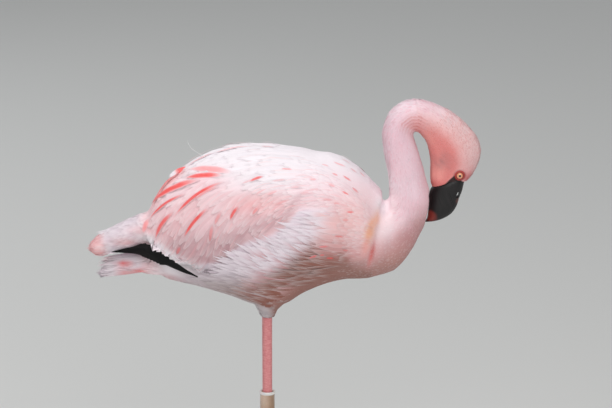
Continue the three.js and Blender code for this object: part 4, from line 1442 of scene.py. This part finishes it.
def folded_vane(t):
    """Widest where the wing bends down to the tips, and drawn out to a point at both ends."""
    places = [0, 0.15, 0.35, 0.55, 0.65, 0.76, 0.88, 1]
    return np.interp(t, places, [0.06, 0.2, 0.34, 0.54, 1, 0.52, 0.3, 0.06])


flight_feather = Finish("black vane", Roughness=0.6, Specular_IOR_Level=0.2)
ridge, length_way, _ = flight_feather.parts(flight_feather.node("UVMap", {"uv_map": "vane"}))
barb = (length_way + abs(ridge - 0.5) * 0.25) * 900
flight_feather.paint(Base_Color=flight_feather.mix(abs(ridge * 2 - 1).rise(0.5, 1), BLACK, rgb(22, 20, 21)))
flight_feather.bump(barb.maths("SINE", barb), 0.05 * MM, 0.5)
for side_name, _, across, seed in SIDES:
    rank = np.arange(FLIGHT_COUNT)
    share = np.linspace(0, 1, 24)
    reach = 1.0 - 0.06 * rank
    line = FLIGHT_LINE * [1, across, 1] * MM
    run = np.concatenate([[0], np.cumsum(np.linalg.norm(np.diff(line, axis=0), axis=1))])
    walk = share[None] * reach[:, None] * run[-1]
    spots = np.stack([np.interp(walk, run, line[:, axis]) for axis in range(3)], -1)
    headings = unit(np.gradient(spots, axis=1))
    ups = np.broadcast_to(np.array([-0.15, across, 0.12]), spots.shape)
    ups = unit(ups - headings * np.einsum("nrk,nrk->nr", headings, ups)[..., None])
    spread = np.cross(headings, ups) * across
    middle = (FLIGHT_COUNT - 1) / 2
    fanned = np.sin(share * math.pi)[None, :, None] * ((rank - middle) * 0.5 * MM)[:, None, None]
    spots = spots + ups * ((rank - middle) * 0.45 * MM)[:, None, None] - spread * fanned
    blades = vanes(
        side_name + "_flight_vanes", (spots, headings, ups), reach * run[-1],
        np.full(FLIGHT_COUNT, 18 * MM), folded_vane, fray=0.03, cup=0.15,
        tint=lambda verts, local, dice: np.broadcast_to(BLACK, verts.shape), seed=seed + 60,
    )
    finished(blades, flight_feather, "flight_feathers")
    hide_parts(side_name + "_flight_feathers")

# --- Bill -----------------------------------------------------------------------------------------
# The bill is black horn, bent down in the middle. The deep lower half holds the narrow upper one like a
# trough with its lid. A slit of a nostril goes right through the upper half.

# From the root to the tip: the ridge (x, z), the keel (x, z), half the width, and the lid's share.
BILL = np.array([
    (244, 520, 218, 509, 5, 0.44), (248, 514, 211, 500, 10.5, 0.44), (247.5, 506, 206, 494.5, 13.2, 0.43),
    (246, 499, 203.5, 489.5, 13.6, 0.43), (244, 490, 202.5, 484, 13, 0.41),
    (240.5, 481, 202, 476, 12.4, 0.28), (237.5, 471, 202, 468, 11.5, 0.14),
    (231.5, 461.5, 201.5, 461.5, 10, 0.12), (222, 455, 201, 457, 8.5, 0.14),
    (212, 451.5, 200, 453.5, 6.5, 0.2), (203, 450, 198.5, 451.5, 4, 0.35),
    (197.5, 449.5, 197, 450.3, 0.8, 0.5),
])
BILL_ROWS = 64
BILL_MIDDLE = (9.5, 11)  # the bill's y at its root and at its tip
BILL_SQUARE = 2.2  # how square its section is: 2 is an ellipse
NOSTRIL = {"x": 238.4, "z": 486, "length": 8.6, "height": 2.8, "tilt": math.radians(76)}


def through(table, count):
    """Rows on a smooth curve through the rows of a table."""
    table = np.asarray(table, float)
    place = np.linspace(0, len(table) - 1, count)
    first = np.minimum(place.astype(int), len(table) - 2)
    t = (place - first)[:, None]
    before, start = table[np.maximum(first - 1, 0)], table[first]
    end, after = table[first + 1], table[np.minimum(first + 2, len(table) - 1)]
    slope_in, slope_out = (end - before) / 2, (after - start) / 2
    return (
        (2 * t**3 - 3 * t**2 + 1) * start + (t**3 - 2 * t**2 + t) * slope_in
        + (3 * t**2 - 2 * t**3) * end + (t**3 - t**2) * slope_out
    )


def loft(rings, along=None):
    """A closed surface through rings of points: a grid rolled up, with its seam and its ends merged."""
    rows, sides = rings.shape[:2]
    rings = rings.copy()
    rings[0], rings[-1] = rings[0].mean(0), rings[-1].mean(0)
    bm = bmesh.new()
    uv = bm.loops.layers.uv.new("around and along")
    bmesh.ops.create_grid(bm, x_segments=sides, y_segments=rows - 1, size=1, calc_uvs=True)
    places = np.concatenate([rings, rings[:, :1]], 1).reshape(-1, 3)
    for vert, place in zip(bm.verts, places.tolist()):
        vert.co = place
    if along is not None:
        for face in bm.faces:
            for loop in face.loops:
                loop[uv].uv.y = float(np.interp(loop[uv].uv.y, np.linspace(0, 1, rows), along))
    bmesh.ops.remove_doubles(bm, verts=bm.verts, dist=0.001 * MM)
    bmesh.ops.recalc_face_normals(bm, faces=bm.faces)
    return bm


def bill_half(lid):
    """The rings of the upper half, the lid, or of the lower one."""
    rings = []
    table = through(BILL, BILL_ROWS)
    for row, (ridge_x, ridge_z, keel_x, keel_z, wide, share) in enumerate(table):
        ridge, keel = np.array([ridge_x, 0, ridge_z]), np.array([keel_x, 0, keel_z])
        middle = (ridge + keel) / 2 + [0, np.interp(row, [0, BILL_ROWS - 1], BILL_MIDDLE), 0]
        edge = math.acos(1 - 2 * min(share, 0.5))
        if lid:
            turn = np.linspace(-edge, edge, 25)
        else:
            turn = np.linspace(edge, 2 * math.pi - edge, 33)
        power = 2 / BILL_SQUARE
        deep = np.sign(np.cos(turn)) * np.abs(np.cos(turn)) ** power
        side = np.sign(np.sin(turn)) * np.abs(np.sin(turn)) ** power * wide * (0.9 if lid else 1)
        flat = np.linspace(0, 1, 9)[1:-1]
        crown = 0.35 * np.sin(flat * math.pi) * (1 if lid else -1)
        deep = np.concatenate([deep, deep[-1] + (deep[0] - deep[-1]) * flat - 0.03 * crown])
        side = np.concatenate([side, side[-1] + (side[0] - side[-1]) * flat])
        rings.append(middle + deep[:, None] * (ridge - keel) / 2 + side[:, None] * [0, 1, 0])
    return np.array(rings) * MM


horn = Finish("bill horn", Roughness=0.36, Coat_Roughness=0.3, Coat_Weight=0.12, Specular_IOR_Level=0.4)
grain_map = horn.node("UVMap", {"uv_map": "around and along"})
grain = horn.noise(horn.node("Mapping", inputs={"Vector": grain_map, "Scale": (70, 3.2, 1)}), 1.0, 4)
broad = horn.noise(horn.place(), 55)


def horn_distance(scale, middle):
    """How far a place is from the middle of a patch, by a scale for each axis."""
    return horn.node("VectorMath", {"operation": "DISTANCE"}, {0: horn.place(scale), 1: middle}, 1)


to_tip = horn_distance((1, 0.35, 1.15), (0.203, 0.0035, 0.528)) + (broad - 0.5) * 0.012
tip_patch = 1 - to_tip.rise(0.004, 0.0115)
ridge_patch = 1 - horn_distance((1, 0.3, 1), (0.240, 0.003, 0.478)).rise(0.002, 0.006)
horn_colour = horn.mix(grain.rise(0.35, 0.75), rgb(13, 11, 12), rgb(32, 27, 29))
horn_colour = horn.mix(tip_patch * 0.9, horn_colour, rgb(134, 46, 36))
horn_colour = horn.mix(ridge_patch * 0.6, horn_colour, rgb(112, 62, 54))
horn.paint(Base_Color=horn_colour, Roughness=0.36 + grain * 0.22)
horn.bump(grain, 0.35 * MM, 0.7)

upper_bill = piece_from(loft(bill_half(True)), "upper_bill_horn")
bpy.context.scene.collection.objects.link(upper_bill)
slit = bmesh.new()
half_slit = NOSTRIL["length"] * MM / 2
bmesh.ops.create_cone(
    slit, cap_ends=True, segments=24, radius1=half_slit, radius2=half_slit, depth=60 * MM,
)
bmesh.ops.scale(slit, verts=slit.verts, vec=(1, NOSTRIL["height"] / NOSTRIL["length"], 1))
bmesh.ops.rotate(slit, verts=slit.verts, matrix=Matrix.Rotation(math.pi / 2, 3, "X"))
bmesh.ops.rotate(slit, verts=slit.verts, matrix=Matrix.Rotation(-NOSTRIL["tilt"], 3, "Y"))
bmesh.ops.translate(
    slit, verts=slit.verts, vec=(NOSTRIL["x"] * MM, BILL_MIDDLE[0] * MM, NOSTRIL["z"] * MM)
)
bmesh.ops.recalc_face_normals(slit, faces=slit.faces)
cutter = piece_from(slit, "nostril")
bpy.context.scene.collection.objects.link(cutter)
cut = upper_bill.modifiers.new("nostril", "BOOLEAN")
cut.operation, cut.object, cut.solver = "DIFFERENCE", cutter, "EXACT"
pierced = bpy.data.meshes.new_from_object(upper_bill.evaluated_get(bpy.context.evaluated_depsgraph_get()))
upper_bill.modifiers.clear()
upper_bill.data = pierced
bpy.data.objects.remove(cutter)
lower_bill = piece_from(loft(bill_half(False)), "lower_bill_horn")
for half, node in ((upper_bill, "upper_bill"), (lower_bill, "lower_bill")):
    finished(half, horn, "bill")
    half.data.set_sharp_from_angle(angle=math.radians(50))
    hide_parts(node)

# --- Eyes -----------------------------------------------------------------------------------------
# Each eye is a glossy ball with a small dark pupil and an orange iris. A ring of bare wrinkled red skin
# closes round it as lids.

EYE_RADIUS = 5.9 * MM
EYE_SET = Vector((-0.8, 0, 1.5)) * MM  # from the middle of its solid
PUPIL, IRIS = 0.09, 0.25  # as shares of the half turn from the middle of the pupil
eye_finish = Finish("eye", Roughness=0.12, Coat_Weight=1.0, Coat_Roughness=0.03)
from_back = eye_finish.parts(eye_finish.node("UVMap", {"uv_map": "ball"}))[1]
from_middle = 1 - from_back
rays = eye_finish.noise(eye_finish.place(), 1400)
iris = eye_finish.mix(from_middle.rise(PUPIL, IRIS), rgb(240, 172, 128), rgb(206, 112, 76))
iris = eye_finish.mix(rays.rise(0.4, 0.7) * 0.35, iris, rgb(246, 192, 150))
inner = eye_finish.mix(from_middle.rise(PUPIL - 0.008, PUPIL + 0.008), rgb(34, 9, 9), iris)
rim = from_middle.rise(IRIS - 0.02, IRIS + 0.012)
eye_finish.paint(Base_Color=eye_finish.mix(rim, inner, rgb(74, 16, 14)))

lid_finish = Finish("lid skin", Roughness=0.55, Subsurface_Weight=0.1)
folds = lid_finish.noise(lid_finish.place(), 1300)
lid_shade = lid_finish.node("Attribute", {"attribute_name": "plumage"}, output="Color")
lid_finish.paint(Base_Color=lid_finish.mix(folds.rise(0.4, 0.8) * 0.5, lid_shade, rgb(120, 26, 26)))
lid_finish.bump(folds, 0.25 * MM)
# Distance from the middle of the lids, and height over the centre of the eye, in millimetres.
LID_PROFILE = (
    (4.0, 3.9), (4.2, 4.25), (4.5, 4.45), (5.0, 4.35), (5.6, 4.0), (6.4, 3.2), (7.2, 2.0), (7.9, 0.4),
    (8.3, -1.5),
)

for node, across in (("eye_right", -1), ("eye_left", 1)):
    low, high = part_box(node)
    centre = (Vector(low) + Vector(high)) / 2 + EYE_SET
    facing = Vector((0.06, across, -0.05)).normalized()
    turn = facing.to_track_quat("Z", "X").to_matrix().to_4x4()
    turn.translation = centre
    ball = bmesh.new()
    ball.loops.layers.uv.new("ball")
    bmesh.ops.create_uvsphere(ball, u_segments=48, v_segments=32, radius=EYE_RADIUS, calc_uvs=True)
    bmesh.ops.transform(ball, matrix=turn, verts=ball.verts)
    eye = finished(piece_from(ball, node + "_ball"), eye_finish, "eye")
    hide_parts(node)
    lid = bmesh.new()
    section = [lid.verts.new((reach * MM, 0, height * MM)) for reach, height in LID_PROFILE]
    section += [lid.edges.new(pair) for pair in zip(section, section[1:])]
    bmesh.ops.spin(
        lid, geom=section, cent=(0, 0, 0), axis=(0, 0, 1), angle=2 * math.pi, steps=72, use_merge=True,
    )
    bmesh.ops.subdivide_edges(lid, edges=lid.edges, cuts=1, smooth=0.6, use_grid_fill=True)
    for vert in lid.verts:
        reach = math.hypot(vert.co.x, vert.co.y) / MM
        angle = math.atan2(vert.co.y, vert.co.x)
        fold = math.sin(angle * 11 + 2 * math.sin(angle * 3)) * 0.16
        fold += math.sin(reach * 6.5 + math.sin(angle * 2)) * 0.12
        vert.co.z += fold * min(1, max(0, (reach - 4.6) / 1.2)) * MM
        vert.co.y *= 1 - 0.07 * math.exp(-((reach - 4.2) / 1.4) ** 2) * abs(math.sin(angle))
    bmesh.ops.transform(lid, matrix=turn, verts=lid.verts)
    bmesh.ops.recalc_face_normals(lid, faces=lid.faces)
    lids = piece_from(lid, node + "_lids")
    spots = read_points(lids.data)
    reach = np.linalg.norm(np.cross(spots - np.array(centre), np.array(facing)), axis=1) / MM
    tint = blend(plumage(spots), rgb(184, 62, 56), smooth_step(reach, 7.6, 5.6))
    give_colours(lids.data, blend(tint, rgb(96, 24, 22), smooth_step(reach, 5.0, 4.4)))
    finished(lids, lid_finish, "face_plumage")

# --- Legs -----------------------------------------------------------------------------------------
# Both legs are bare pink skin in overlapping scutes. The right one carries the bird. The left one is
# folded under it, its tarsus along the belly and its foot under the breast.

SCUTE = 3.4  # length of one scute
SCUTE_RELIEF = 0.2
LIMB_SIDES = 28
leg_skin = Finish("leg scutes", Roughness=0.5, Coat_Weight=0.08, Coat_Roughness=0.4)
around, scutes, _ = leg_skin.parts(leg_skin.node("UVMap", {"uv_map": "around and along"}))
staggered = scutes + around.maths("GREATER_THAN", around, 0.5) * 0.5
step = staggered.maths("FRACT", staggered)
groove = 1 - step.rise(0.0, 0.16)
mottle = leg_skin.noise(leg_skin.place(), 240)
leg_colour = leg_skin.mix(mottle.rise(0.3, 0.7), rgb(214, 128, 132), rgb(226, 150, 150))
leg_colour = leg_skin.mix(groove * 0.55, leg_colour, rgb(176, 84, 92))
leg_skin.paint(Base_Color=leg_colour, Roughness=0.42 + mottle * 0.2)
leg_skin.bump(leg_skin.noise(leg_skin.place(), 1800), 0.12 * MM, 0.6)


def limb(places, front, rows):
    """A limb through places (x, y, z, radius, depth over width) with a relief of scutes."""
    table = through(places, rows)
    line, radius, flat = table[:, :3], table[:, 3], table[:, 4]
    tangent = unit(np.gradient(line, axis=0))
    side = unit(np.cross(tangent, np.array(front, float)))
    fore = np.cross(side, tangent)
    along = np.concatenate([[0], np.cumsum(np.linalg.norm(np.diff(line, axis=0), axis=1))]) / SCUTE
    turn = np.linspace(0, 2 * math.pi, LIMB_SIDES, endpoint=False)
    half = (turn > math.pi) * 0.5
    place = (along[:, None] + half[None]) % 1
    lift = SCUTE_RELIEF * (smooth_step(place, 0, 0.14) - 0.55 * place)
    at_seam = np.exp(-((np.sin(turn) / 0.22) ** 2))
    lift = lift * (1 - 0.9 * at_seam) - 0.5 * SCUTE_RELIEF * at_seam
    reach = radius[:, None] + lift
    ring = (
        line[:, None]
        + side[:, None] * (reach * np.cos(turn))[..., None]
        + fore[:, None] * (reach * flat[:, None] * np.sin(turn))[..., None]
    )
    return loft(ring * MM, along)


RIGHT_LEG = [
    (0, 0, 7, 4.6, 1), (0, -0.1, 14, 4.9, 1), (0, -0.5, 45, 4.7, 1), (0, -1.1, 110, 4.7, 1),
    (0, -1.6, 160, 4.9, 1), (0, -1.8, 178, 6.0, 1.04), (0, -1.9, 188, 8.2, 1.08), (0, -2, 197, 9.0, 1.02),
    (0, -2.3, 205, 7.6, 1), (0, -2.6, 213, 6.3, 1), (0, -3.2, 228, 6.0, 1), (0, -5, 275, 6.1, 1),
    (0, -7, 325, 6.2, 1), (0.5, -8, 346, 6.3, 1),
]
LEFT_TARSUS = [
    (52, 48, 378.5, 4.2, 1), (44, 47, 379, 4.8, 1), (20, 44.1, 380, 4.6, 1), (-40, 36.9, 382.7, 4.6, 1),
    (-100, 29.6, 385.3, 4.8, 1), (-122, 27, 386.3, 5.8, 1), (-132, 25.7, 386.8, 7.8, 1.05),
    (-139, 25, 387, 8.4, 1), (-145, 24.3, 387.2, 6.6, 1), (-148, 24, 387.4, 3, 1),
]
LEFT_SHANK = [
    (-140, 25, 388, 5.8, 1), (-128, 26.8, 393.6, 6.0, 1), (-110, 29, 400, 5.6, 1), (-84, 32, 407, 5.6, 1),
    (-66, 34, 412, 5.4, 1),
]
for name, places, front, rows, nodes in (
    ("right_leg_scutes", RIGHT_LEG, (1, 0, 0), 560, ("right_tarsus", "right_shank")),
    ("left_tarsus_scutes", LEFT_TARSUS, (0, 0, 1), 330, ("left_tarsus",)),
    ("left_shank_scutes", LEFT_SHANK, (0, 0, 1), 130, ("left_shank",)),
):
    leg = finished(piece_from(limb(places, front, rows), name), leg_skin, "leg_skin")
    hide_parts(*nodes)

# --- Feet -----------------------------------------------------------------------------------------
# Three scaled toes joined by a soft web, a small hind toe, and blunt dark claws.

foot_skin = Finish("foot skin", Roughness=0.5, Coat_Weight=0.08, Coat_Roughness=0.4)
foot_shade = foot_skin.node("Attribute", {"attribute_name": "plumage"}, output="Color")
foot_grain = foot_skin.noise(foot_skin.place(), 900)
foot_skin.paint(Base_Color=foot_skin.mix(foot_grain.rise(0.35, 0.75) * 0.35, foot_shade, rgb(232, 166, 164)))
foot_skin.bump(foot_grain, 0.2 * MM)
claw_horn = Finish("claw horn", Roughness=0.4)
claw_grain = claw_horn.noise(claw_horn.place((1, 3, 3)), 500)
claw_horn.paint(Base_Color=claw_horn.mix(claw_grain, rgb(40, 32, 32), rgb(96, 78, 74)))
claw_horn.bump(claw_grain, 0.1 * MM)
FOOT_CELL = 0.65 * MM
CLAW_CELL = 0.3 * MM
TOE_SCALE = 2.9  # length of one scale on a toe
for side_name, root in (("right", (0, 0, 8)), ("left", (44, 47, 379))):
    rough_foot = swollen_copy((side_name + "_foot",), 0.1 * MM)
    foot = piece_from(remeshed(rough_foot, FOOT_CELL), side_name + "_foot_skin")
    spots = relaxed(foot.data, 5)
    out = read_normals(foot.data)
    run = np.linalg.norm(spots / MM - root, axis=1)
    bands = run / TOE_SCALE % 1
    upper = smooth_step(out[:, 2], 0.1, 0.6) if side_name == "right" else 1
    relief = (smooth_step(bands, 0, 0.2) - 0.6 * bands) * upper * smooth_step(run, 7, 12)
    spots = spots + out * (0.22 * MM * relief)[:, None]
    set_points(foot.data, spots)
    groove = (1 - smooth_step(bands, 0.02, 0.2)) * upper
    tint = np.tile(np.asarray(rgb(212, 126, 130)), (len(spots), 1))
    give_colours(foot.data, blend(tint, rgb(168, 82, 90), groove * 0.6))
    finished(foot, foot_skin, "leg_skin")
    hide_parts(side_name + "_foot")
    for toe in ("inner", "middle", "outer"):
        node = f"{side_name}_claw_{toe}"
        claw = piece_from(remeshed(swollen_copy((node,), 0.02 * MM), CLAW_CELL), node + "_horn")
        relaxed(claw.data, 4)
        finished(claw, claw_horn, "claw")
        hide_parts(node)

# --- Leg ring -------------------------------------------------------------------------------------
# A tan plastic ring, one strip wrapped round the tarsus over the ankle, with rounded paler rims.

RING = {"inner": 7.4, "outer": 9.2, "rim": 10.2, "bead": 1.9, "bottom": 204.4, "height": 28}
ANKLE = {"y": -2, "z": 196}
LEAN = {"by": 5, "over": 131.6}  # above the ankle the leg leans to the right
ring_y = ANKLE["y"] - LEAN["by"] * (RING["bottom"] + RING["height"] / 2 - ANKLE["z"]) / LEAN["over"]
ring_finish = Finish(
    "ring plastic", Roughness=0.28, Coat_Weight=0.5, Coat_Roughness=0.12, Subsurface_Weight=0.15
)
ring_x_light_to_shade, _, ring_height = ring_finish.parts(ring_finish.place())
from_top = (RING["bottom"] + RING["height"]) * MM - ring_height
scuffs = ring_finish.noise(ring_finish.place((1, 1, 6)), 500)
# Lighter towards the tail and darker towards the breast: painted light and shade on the ring.
tan = ring_finish.mix(ring_x_light_to_shade.rise(-0.005, 0.008), rgb(218, 182, 162), rgb(166, 128, 102))
tan = ring_finish.mix(from_top.rise(0.006, RING["height"] * MM) * 0.5, tan, rgb(150, 122, 96))
tan = ring_finish.mix(scuffs.rise(0.5, 0.75) * 0.35, tan, rgb(124, 100, 76))
pale = 1 - from_top.rise(0.0034, 0.0042)
ring_colour = ring_finish.mix(pale, tan, rgb(234, 228, 224))
ring_finish.paint(Base_Color=ring_colour, Roughness=0.22 + scuffs * 0.2)
ring_finish.bump(scuffs, 0.08 * MM)
ring = bmesh.new()
low, high = RING["bottom"], RING["bottom"] + RING["height"]
bead = (RING["rim"] - RING["inner"]) / 2
bead_middle = RING["inner"] + bead
profile = []
upper_bead = (high - RING["bead"], -0.6, math.pi)
lower_bead = (low + RING["bead"], math.pi, 2 * math.pi + 0.6)
for middle, start, end in (upper_bead, lower_bead):
    turn = np.linspace(start, end, 12)
    profile += list(zip(bead_middle + np.cos(turn) * bead, middle + np.sin(turn) * RING["bead"]))
profile += [(RING["outer"], low + 4.4), (RING["outer"], high - 4.4)]
section = [ring.verts.new((reach * MM, 0, z * MM)) for reach, z in profile]
section += [ring.edges.new(pair) for pair in zip(section, section[1:] + section[:1])]
bmesh.ops.spin(
    ring, geom=section, cent=(0, 0, 0), axis=(0, 0, 1), angle=2 * math.pi, steps=96, use_merge=True,
)
bmesh.ops.translate(ring, verts=ring.verts, vec=(0, ring_y * MM, 0))
bmesh.ops.recalc_face_normals(ring, faces=ring.faces)
leg_ring = finished(piece_from(ring, "leg_ring_plastic"), ring_finish, "leg_ring")
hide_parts("leg_ring")

# --- Loose plume ----------------------------------------------------------------------------------
# One hair-like grey plume has come loose and curls up off the back.

plume_finish = Finish("loose plume", Roughness=0.6)
plume_grain = plume_finish.noise(plume_finish.place(), 300)
plume_finish.paint(Base_Color=plume_finish.mix(plume_grain, rgb(226, 226, 226), rgb(246, 244, 244)))
hair = through([(-76, -12, 540), (-83, -14, 543.5), (-91, -15, 549), (-96, -16, 555), (-98.5, -16, 562)], 30)
thick = np.interp(np.linspace(0, 1, 30), [0, 0.7, 1], [0.5, 0.35, 0.08])
turn = np.linspace(0, 2 * math.pi, 6, endpoint=False)
hair_rings = hair[:, None] + thick[:, None, None] * np.stack([np.cos(turn), np.sin(turn), 0 * turn], 1)[None]
finished(piece_from(loft(hair_rings * MM), "loose_plume"), plume_finish, "plumage")
